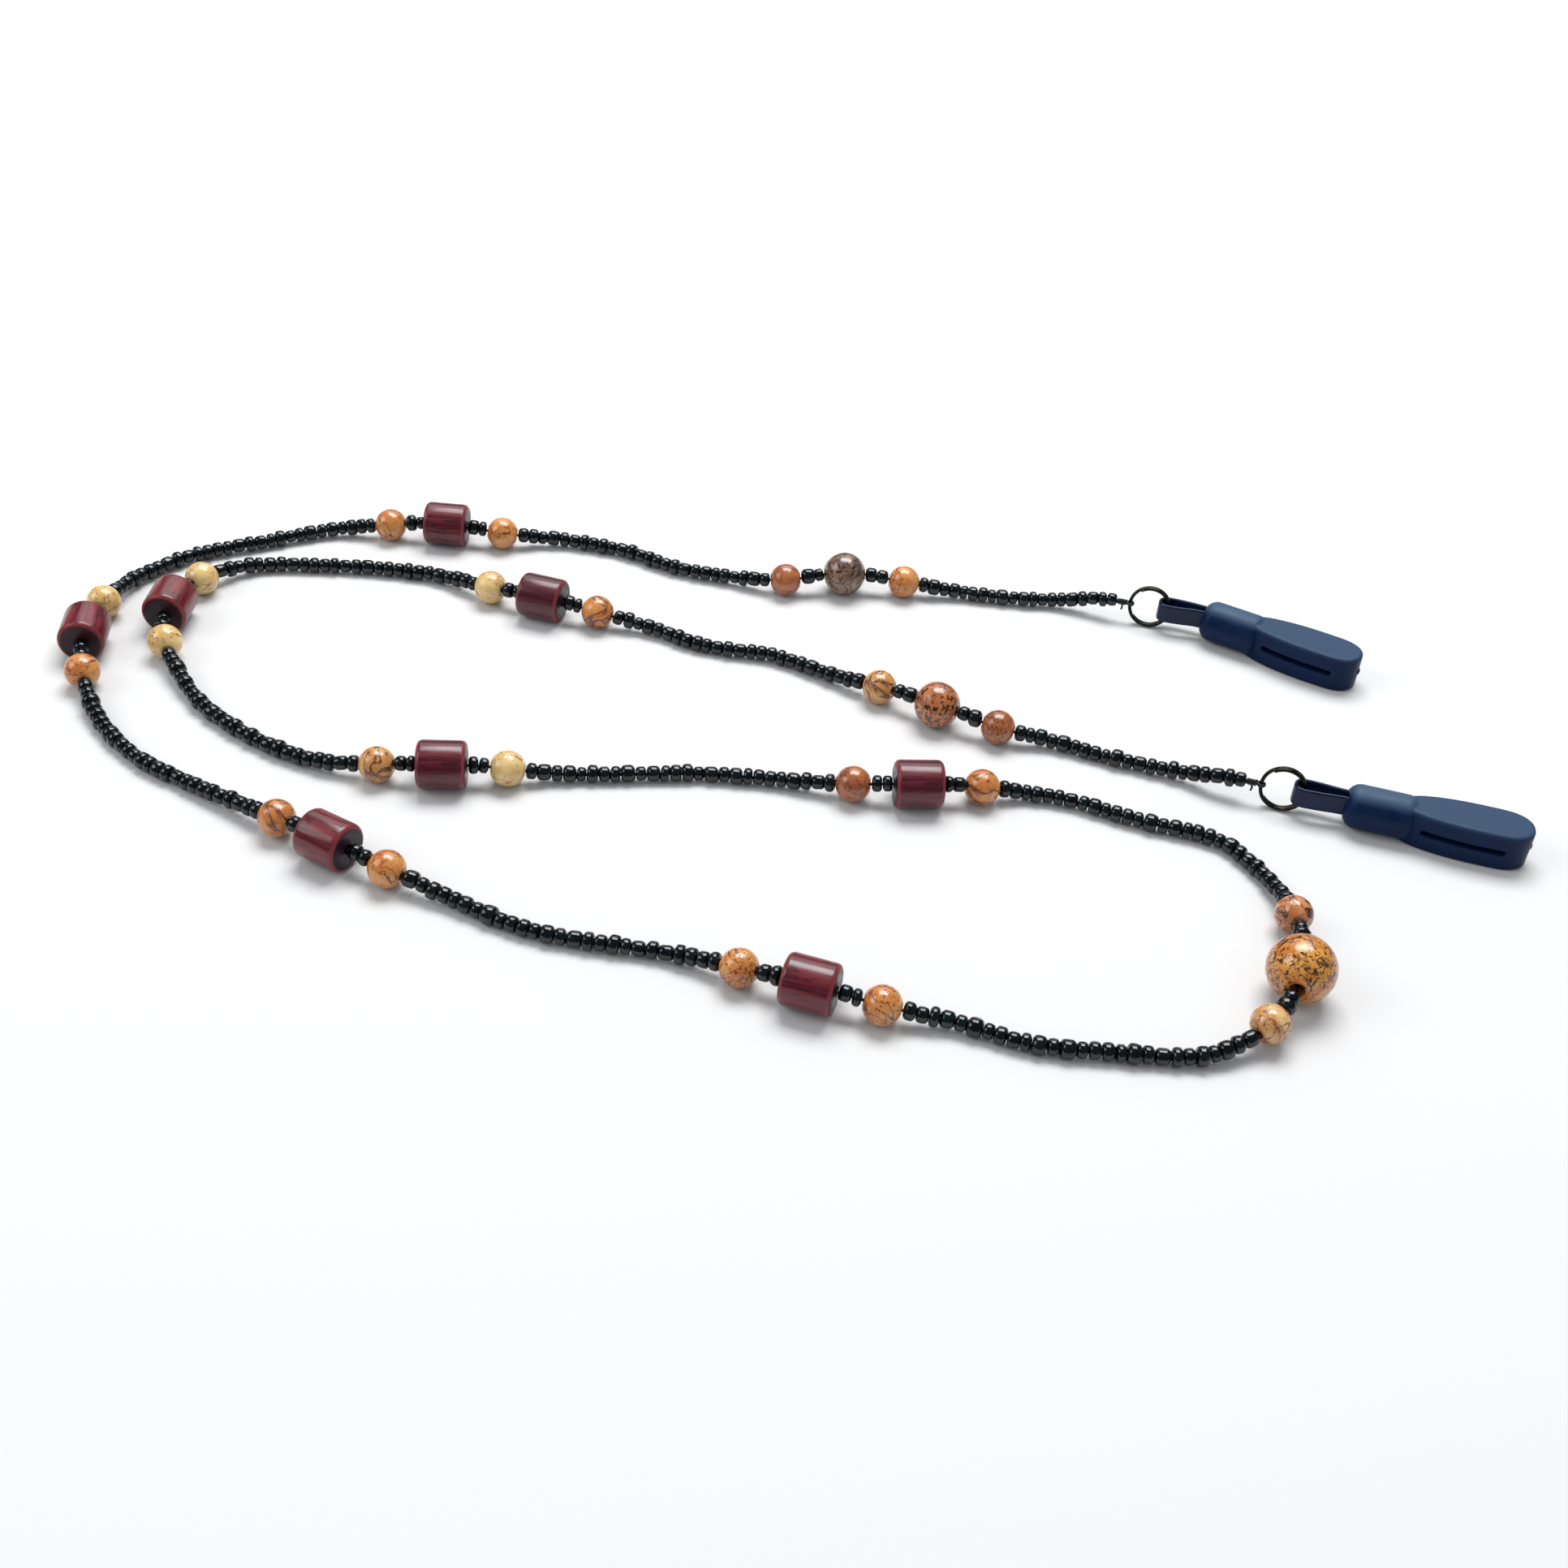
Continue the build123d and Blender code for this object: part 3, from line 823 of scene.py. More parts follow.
# %% Stone material
def stone_material(name, centre, look):
    """look: base, cloud, patch, vein and speck colours, and the figure's settings."""
    material, tree, shader = new_material("jasper_" + name, Roughness=0.3)
    shader.inputs["Coat Weight"].default_value = 0.5
    shader.inputs["Coat Roughness"].default_value = 0.18
    masks, _ = figure(tree, centre=centre, turn=look["turn"], **look["figure"])
    body = blend_colours(tree, masks["Cloud"], look["base"], look["cloud"])
    body = blend_colours(tree, masks["Patch"], body, look["patch"])
    body = blend_colours(tree, masks["Vein"], body, look["vein"])
    body = blend_colours(tree, masks["Speck"], body, look["speck"])
    link(tree, body, shader.inputs["Base Color"])
    link(tree, remap(tree, masks["Vein"], 0, 1, 0.22, 0.42), shader.inputs["Roughness"])
    bump(tree, masks["Speck"], shader, -0.15, 0.03 * MM)
    return material


def look(base, cloud, patch, vein, speck, turn=(0, 0, 0), **settings):
    return {
        "base": colour(*base),
        "cloud": colour(*cloud),
        "patch": colour(*patch),
        "vein": colour(*vein),
        "speck": colour(*speck),
        "turn": turn,
        "figure": settings,
    }


DARK_VEIN = (96, 52, 32)
TAN = {
    "base": (206, 160, 98),
    "cloud": (190, 130, 70),
    "patch": (160, 100, 54),
    "vein": DARK_VEIN,
    "speck": (122, 74, 44),
}
ORANGE = {
    "base": (204, 142, 76),
    "cloud": (184, 108, 52),
    "patch": (156, 84, 42),
    "vein": DARK_VEIN,
    "speck": (112, 62, 36),
}
CREAM = {
    "base": (222, 192, 132),
    "cloud": (206, 166, 102),
    "patch": (184, 134, 74),
    "vein": (150, 106, 62),
    "speck": (146, 102, 60),
}
BROWN = {
    "base": (172, 102, 60),
    "cloud": (148, 80, 46),
    "patch": (120, 82, 62),
    "vein": (74, 42, 32),
    "speck": (84, 52, 42),
}
print("four families of jasper")

# %% The look of each stone
LOOKS = {
    "small_stone_a1_outer": look(**ORANGE, turn=(0.4, 0.2, 1.1), Patch_Level=0.6),
    "small_stone_a1_inner": look(**BROWN, turn=(1.2, 0.7, 0.3), Patch_Level=0.52),
    "small_stone_a2_outer": look(**ORANGE, turn=(2.0, 0.1, 0.6), Patch_Level=0.54),
    "small_stone_a2_inner": look(**ORANGE, turn=(0.9, 1.9, 0.2), Patch_Level=0.62),
    "small_stone_a3_outer": look(**CREAM, turn=(0.3, 1.0, 2.2), Patch_Level=0.56),
    "small_stone_a3_inner": look(**ORANGE, turn=(1.7, 0.5, 1.4), Patch_Level=0.55),
    "small_stone_a4_outer": look(**ORANGE, turn=(0.1, 2.4, 0.8), Patch_Level=0.58, Vein_Width=0.03),
    "small_stone_a4_inner": look(**ORANGE, turn=(2.6, 1.1, 0.5), Patch_Level=0.6),
    "small_stone_a5_outer": look(**ORANGE, turn=(0.8, 0.4, 2.0), Speck_Level=0.58),
    "small_stone_a5_inner": look(**ORANGE, turn=(1.4, 2.1, 1.0), Speck_Level=0.6),
    "small_stone_b5_inner": look(**ORANGE, turn=(0.6, 1.5, 0.9), Vein_Width=0.035),
    "small_stone_b5_outer": look(**BROWN, turn=(2.2, 0.3, 1.6), Patch_Level=0.54),
    "small_stone_b4_inner": look(**CREAM, turn=(1.0, 0.8, 0.1), Patch_Level=0.58),
    "small_stone_b4_outer": look(**TAN, turn=(0.2, 1.3, 1.9), Vein_Width=0.04),
    "small_stone_b3_inner": look(**CREAM, turn=(1.9, 0.9, 1.2), Patch_Level=0.6),
    "small_stone_b3_outer": look(**CREAM, turn=(0.7, 0.6, 0.4), Patch_Level=0.5),
    "small_stone_b2_inner": look(**CREAM, turn=(2.4, 1.7, 0.7), Patch_Level=0.63),
    "small_stone_b2_outer": look(**ORANGE, turn=(1.1, 0.2, 2.5), Vein_Width=0.05),
    "small_stone_b1_inner": look(**TAN, turn=(0.5, 2.0, 1.5), Vein_Width=0.035, Patch_Level=0.53),
    "small_stone_b1_outer": look(**BROWN, turn=(1.6, 1.2, 0.8), Speck_Level=0.57),
}
LOOKS["small_stone_centre_a"] = look(
    (210, 176, 122), (184, 126, 70), (142, 70, 36), (104, 58, 34), (112, 64, 38),
    turn=(0.0, 0.6, 0.2), Cloud_Scale=170.0, Patch_Scale=130.0, Patch_Level=0.46,
)
LOOKS["small_stone_centre_b"] = look(
    (196, 132, 84), (176, 104, 58), (142, 78, 46), (68, 36, 28), (82, 46, 34),
    turn=(0.9, 0.3, 1.0), Vein_Scale=330.0, Vein_Width=0.05, Patch_Level=0.6,
)
LOOKS["medium_stone_a1"] = look(
    (146, 112, 84), (112, 80, 62), (84, 74, 72), (56, 42, 38), (50, 40, 38),
    Cloud_Scale=520.0, Patch_Scale=380.0, Patch_Level=0.5, Speck_Scale=1500.0, Speck_Level=0.56,
)
LOOKS["medium_stone_b1"] = look(
    (184, 114, 64), (158, 86, 46), (118, 82, 66), (72, 42, 36), (58, 38, 34),
    turn=(0.6, 0.2, 0.4), Cloud_Scale=420.0, Patch_Scale=420.0, Patch_Level=0.57,
    Speck_Scale=1300.0, Speck_Level=0.55,
)
LOOKS["large_stone_centre"] = look(
    (208, 146, 66), (188, 106, 34), (116, 74, 44), (66, 42, 32), (70, 46, 34),
    turn=(0.3, 0.8, 0.0), Cloud_Scale=200.0, Patch_Scale=560.0, Patch_Level=0.54,
    Vein_Scale=500.0, Vein_Width=0.02, Speck_Scale=1500.0, Speck_Level=0.57,
)
print(len(LOOKS), "stones")

# %% [markdown]
# ## A painted highlight along a rim
#
# A rounded rim catches the light in a thin bright line, and here that line is painted into
# the colour as a painted highlight. The distance from the rim's circle is worked out from the bead's
# own coordinates, radius and half length, and a noise breaks its edge, so the pale line isn't even.
# It is a group, because the barrels use it for the painted rim highlight and again, wider, for the dark ends.

# %% Build the rim highlight and end group
def build_rim_highlight_and_end():
    group = bpy.data.node_groups.new("rim_wear", "ShaderNodeTree")
    group_socket(group, "Vector", "INPUT", "NodeSocketVector")
    group_socket(group, "Radius", "INPUT", value=0.004)
    group_socket(group, "Half Length", "INPUT", value=0.004)
    group_socket(group, "Reach", "INPUT", value=0.0006)
    group_socket(group, "Rim", "OUTPUT")
    group_socket(group, "End", "OUTPUT")
    source = node(group, "NodeGroupInput")
    result = node(group, "NodeGroupOutput")
    axes = node(group, "ShaderNodeSeparateXYZ")
    link(group, source.outputs["Vector"], axes.inputs[0])

    def maths(operation, first, second=None):
        made = node(group, "ShaderNodeMath", operation=operation)
        for socket, value in zip(made.inputs, (first, second)):
            if isinstance(value, bpy.types.NodeSocket):
                link(group, value, socket)
            elif value is not None:
                socket.default_value = value
        return made.outputs[0]

    def square(value):
        return maths("MULTIPLY", value, value)

    out = maths("SQRT", maths("ADD", square(axes.outputs["X"]), square(axes.outputs["Y"])))
    height = maths("ABSOLUTE", axes.outputs["Z"])
    from_side = maths("SUBTRACT", out, source.outputs["Radius"])
    from_end = maths("SUBTRACT", height, source.outputs["Half Length"])
    gap = maths("SQRT", maths("ADD", square(from_side), square(from_end)))
    noise = node(group, "ShaderNodeTexNoise", {"Scale": 900.0, "Detail": 3.0})
    link(group, source.outputs["Vector"], noise.inputs["Vector"])
    reach = maths("MULTIPLY", source.outputs["Reach"], maths("ADD", noise.outputs["Fac"], 0.6))
    share = maths("DIVIDE", gap, reach)
    # Rim: the painted highlight, a pale line where the rounded rim catches the light
    link(group, remap(group, share, 0.45, 1.0, 1.0, 0.0), result.inputs["Rim"])
    inset = maths("DIVIDE", from_end, source.outputs["Reach"])
    link(group, remap(group, inset, -0.7, -0.25), result.inputs["End"])
    return group


RIM_HIGHLIGHT_AND_END = build_rim_highlight_and_end()
print("rim highlight and end group has", len(RIM_HIGHLIGHT_AND_END.nodes), "nodes")

# %% [markdown]
# ## Lacquered wood barrels
#
# A barrel bead is turned from a stick, drilled and lacquered in burgundy. A cylinder has
# the right body. Its ends are inset to the bore and opened, the two openings are bridged,
# and the rims get a round bevel.

# %% Model a barrel
WOOD_DIAMETER = 8.0 * MM
WOOD_LENGTH = 8.0 * MM
WOOD_EDGE = 0.9 * MM
WOOD_BORE = 1.6 * MM
WOOD_MOUTH = 0.2 * MM
WOOD_MOUTH_DEPTH = 0.15 * MM
PICK_SLACK = 0.01 * MM


def on_rim(edge):
    """Whether the edge runs round one of the cylinder's two outer rims."""
    first, second = (vertex.co for vertex in edge.verts)
    wide = min(first.xy.length, second.xy.length) > WOOD_DIAMETER / 2 - PICK_SLACK
    far = min(abs(first.z), abs(second.z)) > WOOD_LENGTH / 2 - PICK_SLACK
    return wide and far and first.z * second.z > 0


def barrel_blank():
    radius = WOOD_DIAMETER / 2
    bpy.ops.object.select_all(action="DESELECT")
    bpy.ops.mesh.primitive_cylinder_add(vertices=64, radius=radius, depth=WOOD_LENGTH)
    piece = bpy.context.object
    piece.name = "barrel_blank"
    edit(piece)
    pick(piece, "faces", lambda f: abs(f.normal.z) > 0.9)
    bpy.ops.mesh.inset(thickness=radius - WOOD_BORE / 2 - WOOD_MOUTH)
    bpy.ops.mesh.inset(thickness=WOOD_MOUTH, depth=-WOOD_MOUTH_DEPTH)
    bpy.ops.mesh.delete(type="FACE")
    pick(piece, "edges", is_open)
    bpy.ops.mesh.bridge_edge_loops()
    pick(piece, "edges", on_rim)
    bpy.ops.mesh.bevel(offset=WOOD_EDGE, segments=6, affect="EDGES")
    done()
    outward(piece)
    smooth(piece, 35)
    return piece


BARREL = barrel_blank()
print("faces in a barrel", len(BARREL.data.polygons))

# %% [markdown]
# The grain runs along the bore, so the figure group is stretched along the bead's own Z
# axis until its clouds are streaks. The barrels weren't dyed alike, and each has its own
# pair of colours.

# %% Barrel material
RIM_MASK_REACH = 0.45 * MM
RIM_MASK_INSET = 0.25 * MM


def barrel_material(name, matrix, light, dark):
    material, tree, shader = new_material("lacquer_" + name, Roughness=0.35)
    shader.inputs["Specular IOR Level"].default_value = 0.3
    shader.inputs["Coat Roughness"].default_value = 0.18
    turn = tuple(matrix.to_euler())
    streak, local = figure(
        tree, centre=tuple(matrix.translation), turn=turn, stretch=(1.0, 1.0, 0.07),
        Cloud_Scale=900.0, Patch_Scale=1500.0, Patch_Level=0.56, Vein_Scale=1300.0,
        Vein_Width=0.05, Speck_Scale=3000.0, Speck_Level=0.66,
    )
    body = blend_colours(tree, streak["Cloud"], colour(*dark), colour(*light))
    body = blend_colours(tree, streak["Vein"], body, colour(62, 15, 25))
    rim_and_end_masks = node(tree, "ShaderNodeGroup", node_tree=RIM_HIGHLIGHT_AND_END)
    rim_and_end_masks.inputs["Reach"].default_value = RIM_MASK_REACH
    rim_and_end_masks.inputs["Radius"].default_value = WOOD_DIAMETER / 2 - RIM_MASK_INSET
    rim_and_end_masks.inputs["Half Length"].default_value = WOOD_LENGTH / 2 - RIM_MASK_INSET
    link(tree, local, rim_and_end_masks.inputs["Vector"])
    body = blend_colours(tree, rim_and_end_masks.outputs["End"], body, colour(40, 16, 28))
    coat = remap(tree, rim_and_end_masks.outputs["End"], 0, 1, 0.5, 0.0)
    link(tree, coat, shader.inputs["Coat Weight"])
    # painted highlight: the rounded rims are mixed to a paler red, standing in for the light they catch
    body = blend_colours(tree, rim_and_end_masks.outputs["Rim"], body, colour(118, 44, 50))
    link(tree, body, shader.inputs["Base Color"])
    link(tree, remap(tree, streak["Cloud"], 0, 1, 0.28, 0.45), shader.inputs["Roughness"])
    bump(tree, streak["Vein"], shader, -0.4, 0.06 * MM)
    return material


WOOD_TONES = {
    "wood_barrel_a2": ((108, 30, 42), (86, 21, 34)),
    "wood_barrel_b2": ((86, 22, 38), (68, 16, 32)),
    "wood_barrel_a3": ((120, 30, 40), (97, 21, 34)),
    "wood_barrel_b3": ((122, 34, 38), (99, 25, 32)),
    "wood_barrel_a4": ((114, 30, 38), (91, 21, 31)),
    "wood_barrel_b4": ((100, 24, 36), (80, 17, 30)),
    "wood_barrel_b5": ((100, 28, 40), (80, 19, 32)),
    "wood_barrel_a5": ((108, 27, 38), (87, 19, 31)),
}
print(len(WOOD_TONES), "barrels")

# %% [markdown]
# ## Put the accent beads on the thread
#
# Each bead is a copy of its blank, turned about its own bore by some angle, as beads that
# were strung by hand are, and put in the frame that its hinge gives.

# %% Place and dress the beads
for name, matrix in BEADS.items():
    kind = name.split("_")[0]
    blank = BARREL if kind == "wood" else STONE_BLANKS[kind]
    bead = copy_of(blank, "bead_" + name)
    place(bead, matrix @ Matrix.Rotation(chance.uniform(0, math.tau), 4, "Z"))
    if kind == "wood":
        dress(bead, barrel_material(name, matrix, *WOOD_TONES[name]))
    else:
        dress(bead, stone_material(name, tuple(matrix.translation), LOOKS[name]))
    stands_for(bead, name)
for blank in [BARREL, *STONE_BLANKS.values()]:
    bpy.data.objects.remove(blank)
print(len(BEADS), "beads placed")

# %% [markdown]
# ## Split rings
#
# A split ring is one wire of nearly two turns that lie side by side. It crosses from one
# turn to the other behind the knot. A curve follows the wire: a point every 3 degrees,
# with a small step sideways in the crossing. The curve gets a round section and becomes a
# mesh.

# %% Wires from curves
RING_WIRE = 0.65 * MM
LAYER_OFFSET = 0.34 * MM
NEAR_TURN_END = 125
FAR_TURN_END = -500
CROSSOVER_MIDDLE = -180
CROSSOVER_HALF_ANGLE = 40
WIRE_STEP = 3


def wire(name, path, diameter, rings=5):
    """A round wire along a row of points, as a mesh."""
    made = curve_along(name, "POLY", path)
    made.data.bevel_depth = diameter / 2
    made.data.bevel_resolution = rings
    made.data.use_fill_caps = True
    return meshed(made)


def ring_wire(side):
    """The near turn runs up to the crossing, and the far turn on from it."""
    radius = ENDS[side]["radius"]
    path = []
    for angle in range(NEAR_TURN_END, FAR_TURN_END, -WIRE_STEP):
        share = max(-1.0, min(1.0, (CROSSOVER_MIDDLE - angle) / CROSSOVER_HALF_ANGLE))
        layer = LAYER_OFFSET * math.sin(share * math.pi / 2)
        turn = math.radians(angle)
        path.append((radius * math.cos(turn), layer, radius * math.sin(turn)))
    return wire(f"wire_ring_{side}", path, RING_WIRE)


print("ring radius in mm", round(ENDS["a"]["radius"] / MM, 3))

# %% [markdown]
# The wire is plated in a dark gunmetal that has gone slightly brassy where it rubs. Metal
# keeps its colour in its reflections, so the two tones are mixed in the base colour and
# the metallic value stays at one.

# %% Ring material
def gunmetal():
    material, tree, shader = new_material("gunmetal_plating", Metallic=1.0)
    masks, _ = figure(
        tree, Cloud_Scale=500.0, Patch_Scale=800.0, Patch_Level=0.58, Speck_Scale=5000.0
    )
    tone = blend_colours(tree, masks["Cloud"], colour(40, 42, 40), colour(60, 60, 54))
    tone = blend_colours(tree, masks["Patch"], tone, colour(88, 80, 62))
    link(tree, tone, shader.inputs["Base Color"])
    link(tree, remap(tree, masks["Cloud"], 0, 1, 0.24, 0.42), shader.inputs["Roughness"])
    bump(tree, masks["Speck"], shader, 0.15, 0.02 * MM)
    return material


GUNMETAL = gunmetal()
for side in "ab":
    ring = ring_wire(side)
    place(ring, ENDS[side]["ring"])
    outward(ring)
    smooth(ring, 60)
    dress(ring, GUNMETAL)
    stands_for(ring, f"split_ring_{side}")
    print("ring", side, len(ring.data.polygons), "faces")

# %% [markdown]
# ## Knots
#
# The thread goes twice round the ring's wire, is wound on itself, and is cut with a short
# tail. Each of these is a wire of thread: two turns of a flat helix for the tie, a tight
# helix for the winding and a short bent end for the tail. A thicker core fills the winding.

# %% Wind the knots
KNOT_THREAD = 0.36 * MM
KNOT_RINGS = 3
TIE_TURNS = 2
TIE_RISE = 0.48 * MM
TIE_INSET = 0.04 * MM
WINDING_START = 0.05 * MM
WINDING_RADIUS = 0.42 * MM
WINDING_TURNS = 4.5
WINDING_LENGTH = 1.6 * MM
CORE_DIAMETER = 0.7 * MM
CORE_LENGTH = 2.0 * MM
TAIL_START = Vector((-0.7, -0.25, -0.4)) * MM
TAIL_BEND = Vector((0.1, -0.1, -0.5)) * MM
TAIL_END = Vector((-0.05, -0.35, -0.95)) * MM
HELIX_STEPS = 20


def helix(centre, first, second, along, radius, turns, rise):
    """Points of a helix round a centre. first and second span its circle."""
    path = []
    for i in range(int(turns * HELIX_STEPS) + 1):
        turn = math.tau * i / HELIX_STEPS
        out = first * (radius * math.cos(turn)) + second * (radius * math.sin(turn))
        path.append(centre + out + along * (rise * i / (turns * HELIX_STEPS)))
    return path


X, Y, Z = Vector((1, 0, 0)), Vector((0, 1, 0)), Vector((0, 0, 1))


def knot(side):
    """A knot round the ring's wire, in the ring's upright frame."""
    radius = ENDS[side]["radius"]
    tie_centre = Vector((-radius, 0, -TIE_RISE / 2))
    tie = helix(tie_centre, -X, Y, Z, TIE_RADIUS - TIE_INSET, TIE_TURNS, TIE_RISE)
    start = Vector((-radius - TIE_RADIUS - WINDING_START, 0, 0))
    winding = helix(start, Z, Y, -X, WINDING_RADIUS, WINDING_TURNS, WINDING_LENGTH)
    low = start + TAIL_START
    tail = [low, low + TAIL_BEND, low + TAIL_END]
    wires = []
    for i, path in enumerate((tie, winding, tail)):
        wires.append(wire(f"knot_part_{i}", path, KNOT_THREAD, KNOT_RINGS))
    core = [start, start - X * CORE_LENGTH]
    wires.append(wire("knot_core", core, CORE_DIAMETER, KNOT_RINGS))
    only(wires[0])
    for part in wires:
        part.select_set(True)
    bpy.ops.object.join()
    made = bpy.context.object
    made.name = f"wound_knot_{side}"
    return made


for side in "ab":
    wound = knot(side)
    place(wound, ENDS[side]["upright"])
    smooth(wound, 60)
    dress(wound, THREAD_BLACK)
    stands_for(wound, f"knot_{side}")
    print("knot", side, len(wound.data.polygons), "faces")

# %% [markdown]
# ## Strap loops
#
# A flat band is folded round the ring and both its tails go into the grip. Seen from
# above, its line is a long drop. A curve with a width and a rounded edge gives such a
# band directly: the extrusion is the straight part of the width, and the bevel is half
# the band's thickness and rounds its edges.

# %% Fold the bands
BAND_WIDTH = 3.7 * MM
BAND_THICKNESS = 0.7 * MM
FOLD_REACH = 1.5 * MM
FOLD_STRAIGHT = 3.4 * MM
FOLD_INNER_WIDTH = 2.2 * MM
MOUTH_INNER_WIDTH = 1.1 * MM
MOUTH_DISTANCE = 10.1 * MM
BAND_IN_GRIP = 4.0 * MM


def grip_bend(side):
    """The grip's direction as seen from the ring's upright frame."""
    local = ENDS[side]["upright"].inverted() @ ENDS[side]["slot"]
    return (local.to_3x3() @ X).normalized()


def band(side):
    """The folded band, in the ring's upright frame, from one tail round the fold to the other."""
    into = grip_bend(side)
    aside = Z.cross(into)
    fold = (FOLD_INNER_WIDTH + BAND_THICKNESS) / 2
    neck = (MOUTH_INNER_WIDTH + BAND_THICKNESS) / 2
    tip = FOLD_REACH + BAND_THICKNESS / 2
    mouth = Vector((MOUTH_DISTANCE, 0, 0))
    tail = mouth + into * BAND_IN_GRIP

    def half(way):
        """The points of one layer, from its tail to the fold. way is 1 or -1."""
        return [
            tail + aside * (way * neck),
            mouth + aside * (way * neck),
            Vector((tip + FOLD_STRAIGHT, way * fold, 0)),
            Vector((tip, way * fold, 0)),
        ]

    made = curve_along(f"folded_band_{side}", "NURBS", half(1) + half(-1)[::-1])
    line = made.data
    line.twist_mode = "Z_UP"
    line.splines[0].order_u = 3
    line.splines[0].use_endpoint_u = True
    line.resolution_u = 16
    line.extrude = BAND_WIDTH / 2 - BAND_THICKNESS / 2
    line.bevel_depth = BAND_THICKNESS / 2
    line.bevel_resolution = 4
    line.use_fill_caps = True
    return meshed(made)


# %% [markdown]
# The band is glossy and nearly black. The grips are a satin navy rubber whose flat tops catch
# more light than their sides, so a painted sheen mixes their colour towards a paler one with height.

# %% Strap and grip materials
PAINTED_SHEEN_HEIGHTS = (6.0 * MM, 7.5 * MM)


def band_material():
    material, tree, shader = new_material("band_gloss_navy")
    shader.inputs["Specular IOR Level"].default_value = 0.25
    masks, _ = figure(tree, Cloud_Scale=300.0)
    tone = blend_colours(tree, masks["Cloud"], colour(7, 22, 50), colour(11, 30, 62))
    link(tree, tone, shader.inputs["Base Color"])
    link(tree, remap(tree, masks["Cloud"], 0, 1, 0.25, 0.38), shader.inputs["Roughness"])
    return material


def grip_material():
    material, tree, shader = new_material("grip_soft_navy")
    shader.inputs["Specular IOR Level"].default_value = 0.12
    masks, local = figure(
        tree, Cloud_Scale=180.0, Patch_Scale=420.0, Patch_Level=0.6,
        Speck_Scale=6500.0, Speck_Level=0.5,
    )
    tone = blend_colours(tree, masks["Cloud"], colour(5, 27, 60), colour(8, 31, 66))
    tone = blend_colours(tree, masks["Patch"], tone, colour(10, 34, 68))
    axes = node(tree, "ShaderNodeSeparateXYZ")
    link(tree, local, axes.inputs[0])
    # painted sheen: the flat tops are mixed to a paler navy, standing in for the light they catch from above
    top = remap(tree, axes.outputs["Z"], *PAINTED_SHEEN_HEIGHTS)
    tone = blend_colours(tree, top, tone, colour(58, 80, 104))
    link(tree, tone, shader.inputs["Base Color"])
    link(tree, remap(tree, masks["Cloud"], 0, 1, 0.38, 0.46), shader.inputs["Roughness"])
    bump(tree, masks["Speck"], shader, 0.12, 0.03 * MM)
    return material


BAND_NAVY = band_material()
GRIP_NAVY = grip_material()
for side in "ab":
    strap = band(side)
    place(strap, ENDS[side]["upright"])
    outward(strap)
    smooth(strap, 50)
    dress(strap, BAND_NAVY)
    stands_for(strap, f"strap_loop_{side}")
    print("band", side, len(strap.data.polygons), "faces")

# %% [markdown]
# ## Temple grips
#
# A grip is one soft moulding: a round barrel that flows into a flat paddle with a slot
# for the glasses' arm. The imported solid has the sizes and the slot, but its parts meet in
# sharp lines, and a mould for soft rubber has none. A copy of it is remeshed into small
# even cells, and smoothing those cells a few times rounds every edge and fills the corner
# between barrel and paddle, as the moulding does.

# %% Soften the grips
CELL = 0.13 * MM
SMOOTHING_ROUNDS = 12
for side in "ab":
    grip = copy_of(frame["nodes"][f"grip_{side}"], f"moulded_grip_{side}")
    grip.parent = None
    outward(grip)
    remesh = grip.modifiers.new("even_cells", "REMESH")
    remesh.mode = "VOXEL"
    remesh.voxel_size = CELL
    smoothing = grip.modifiers.new("soft_edges", "SMOOTH")
    smoothing.factor = 0.5
    smoothing.iterations = SMOOTHING_ROUNDS
    apply_all(grip)
    smooth(grip, 80)
    dress(grip, GRIP_NAVY)
    stands_for(grip, f"grip_{side}")
    print("grip", side, len(grip.data.polygons), "faces")

# %% [markdown]
# ## Table and light
#
# The table is a large pale sheet. Most of the light comes from a broad lamp above and
# behind the strap, which leaves short soft shadows in front of the beads and a bright
# streak on top of each. A weaker lamp from the left fills the shadows. The camera sees a
# white backdrop, while reflections see a nearly dark room, so the black glass stays black.
# A wide dim panel low behind the strap lights nothing by itself and shows only in
# reflections: the flat tops of the grips shine with it, and with a painted sheen in their colour as well.
# Each lamp has its place and its two sides in metres and its power in watts, and all of them aim at the strap's
# middle.

# %% Make the table
TABLE_SIDE = 1.6

bpy.ops.object.select_all(action="DESELECT")
bpy.ops.mesh.primitive_plane_add(size=TABLE_SIDE)
table = bpy.context.object
table.name = "table"
white, tree, shader = new_material("table_white", Roughness=0.9)
shader.inputs["Base Color"].default_value = colour(210, 210, 210)
shader.inputs["Specular IOR Level"].default_value = 0.1
dress(table, white)
print("table", table.dimensions.x, "m")

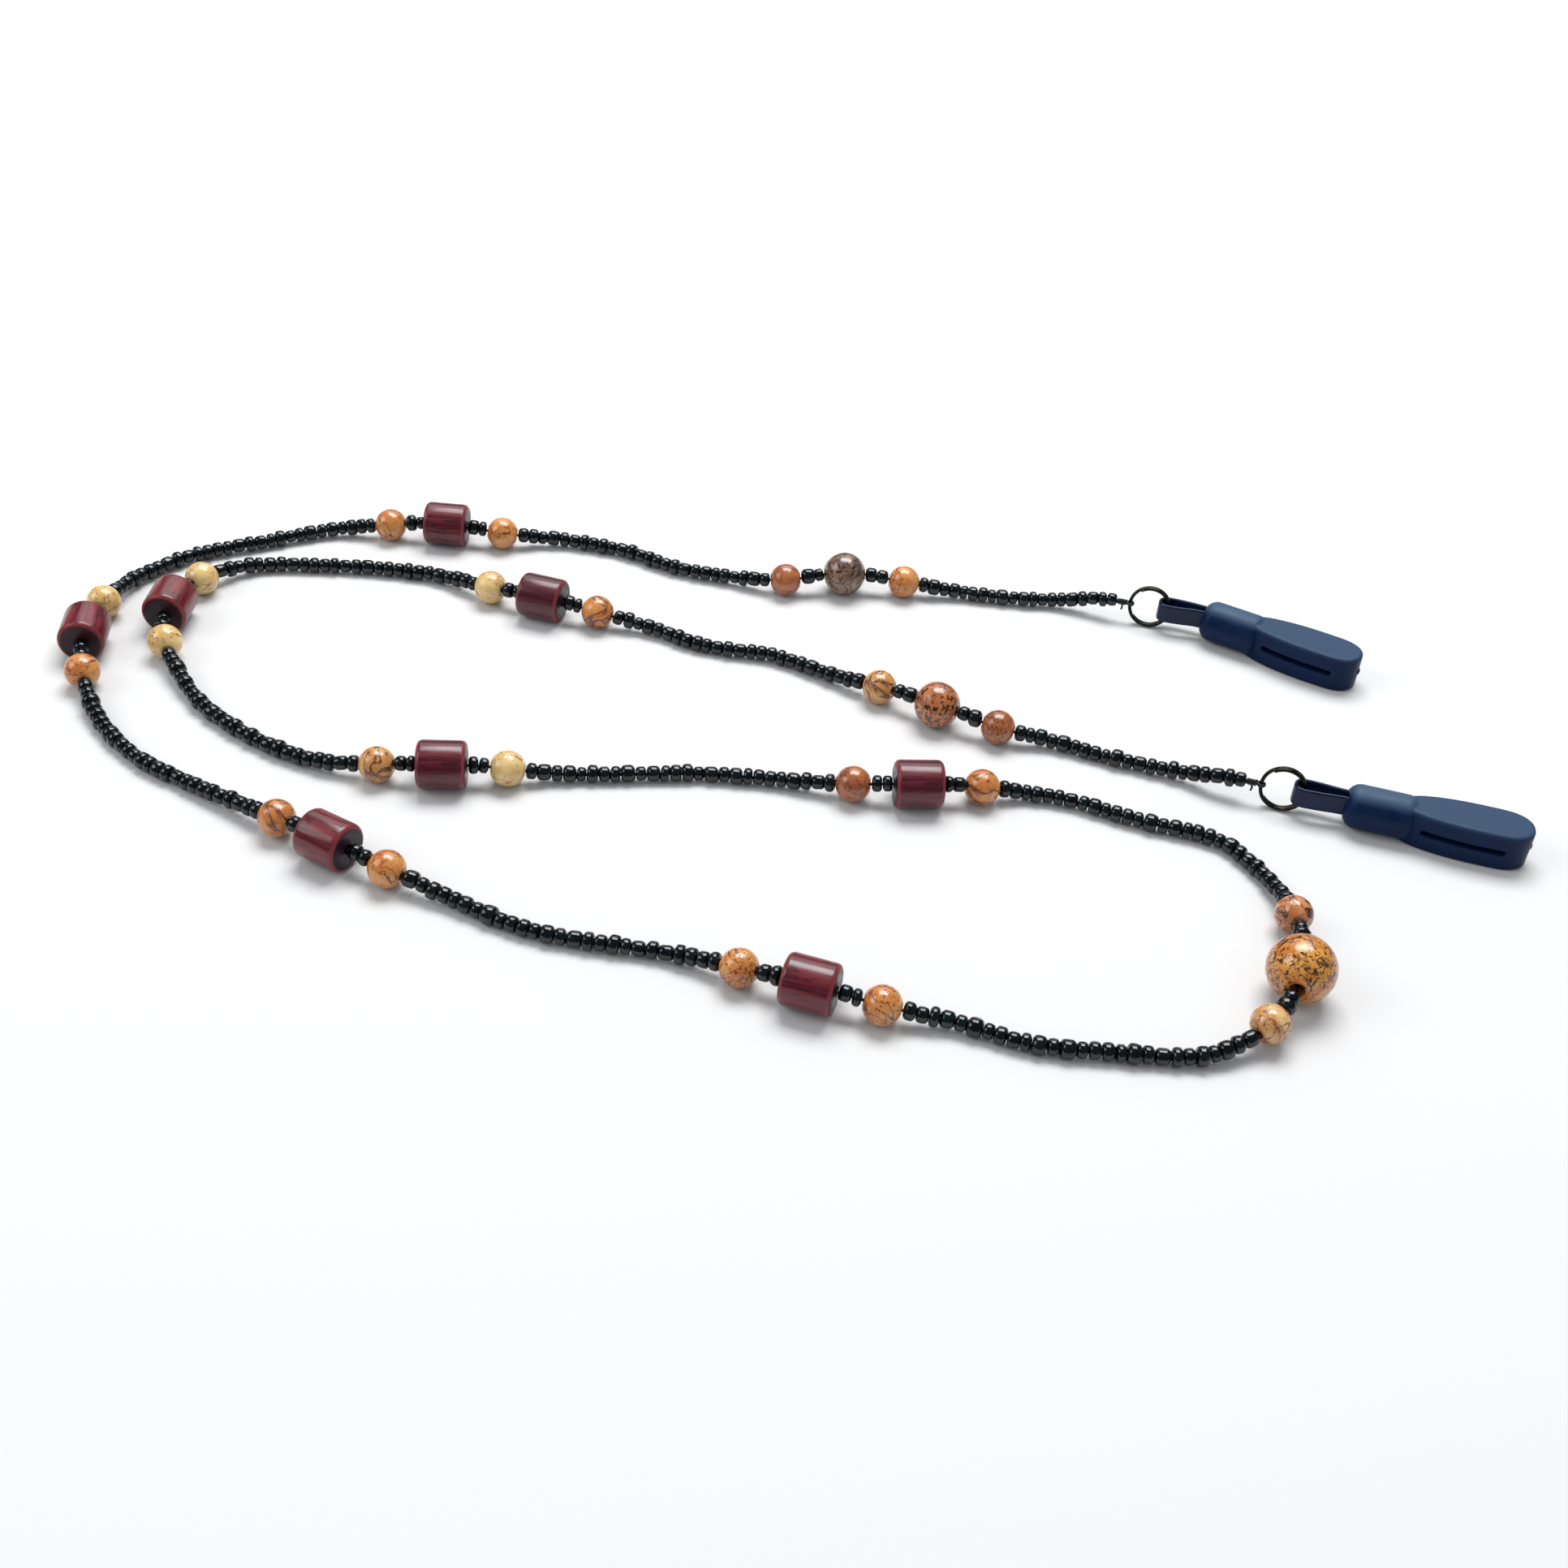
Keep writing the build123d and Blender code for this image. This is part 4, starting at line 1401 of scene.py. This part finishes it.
# %% Hang the lamps
LAMPS = {
    "key_above": ((0.05, 0.45, 0.95), (0.8, 0.5), 13.0),
    "fill_left": ((-0.9, -0.1, 0.7), (0.6, 0.6), 3.5),
    "gloss_behind": ((0, 1.1, 0.8), (1.4, 0.5), 3.5),
}
STRAP_MIDDLE = Vector((0, 0, 0))


def lamp(name, place_at, size, power):
    data = bpy.data.lights.new(name, "AREA")
    data.shape = "RECTANGLE"
    data.size, data.size_y = size
    data.energy = power
    made = bpy.data.objects.new(name, data)
    bpy.context.scene.collection.objects.link(made)
    made.location = place_at
    towards = STRAP_MIDDLE - Vector(place_at)
    made.rotation_euler = towards.to_track_quat("-Z", "Y").to_euler()
    return made


for name, (place_at, size, power) in LAMPS.items():
    made = lamp(name, place_at, size, power)
    made.visible_diffuse = name != "gloss_behind"
print("lamps", list(LAMPS))

# %% Set the room's light
ROOM_STRENGTH = 0.55
ROOM_IN_REFLECTIONS = 0.1
ROOM_COLOUR = (0.93, 0.96, 1, 1)
BACKDROP_COLOUR = (0.965, 0.965, 0.965, 1)

world = bpy.data.worlds.new("studio")
world.use_nodes = True
bpy.context.scene.world = world
room = world.node_tree
room.nodes.clear()
path_kind = node(room, "ShaderNodeLightPath")
seen = node(room, "ShaderNodeBackground", {"Color": BACKDROP_COLOUR, "Strength": 1.0})
lighting = node(room, "ShaderNodeBackground", {"Color": ROOM_COLOUR})
glossy = path_kind.outputs["Is Glossy Ray"]
strength = remap(room, glossy, 0, 1, ROOM_STRENGTH, ROOM_IN_REFLECTIONS)
link(room, strength, lighting.inputs["Strength"])
chosen = node(room, "ShaderNodeMixShader")
out = node(room, "ShaderNodeOutputWorld")
link(room, path_kind.outputs["Is Camera Ray"], chosen.inputs[0])
link(room, lighting.outputs[0], chosen.inputs[1])
link(room, seen.outputs[0], chosen.inputs[2])
link(room, chosen.outputs[0], out.inputs["Surface"])
bpy.context.scene.view_settings.view_transform = "Standard"
print("room light", ROOM_STRENGTH, "and in reflections", ROOM_IN_REFLECTIONS)

# %% [markdown]
# ## Finish
#
# The view layer is updated once more, so that every piece stands in its final place. The
# finished pieces must fill the same box as the imported model.

# %% Finish
bpy.context.view_layer.update()
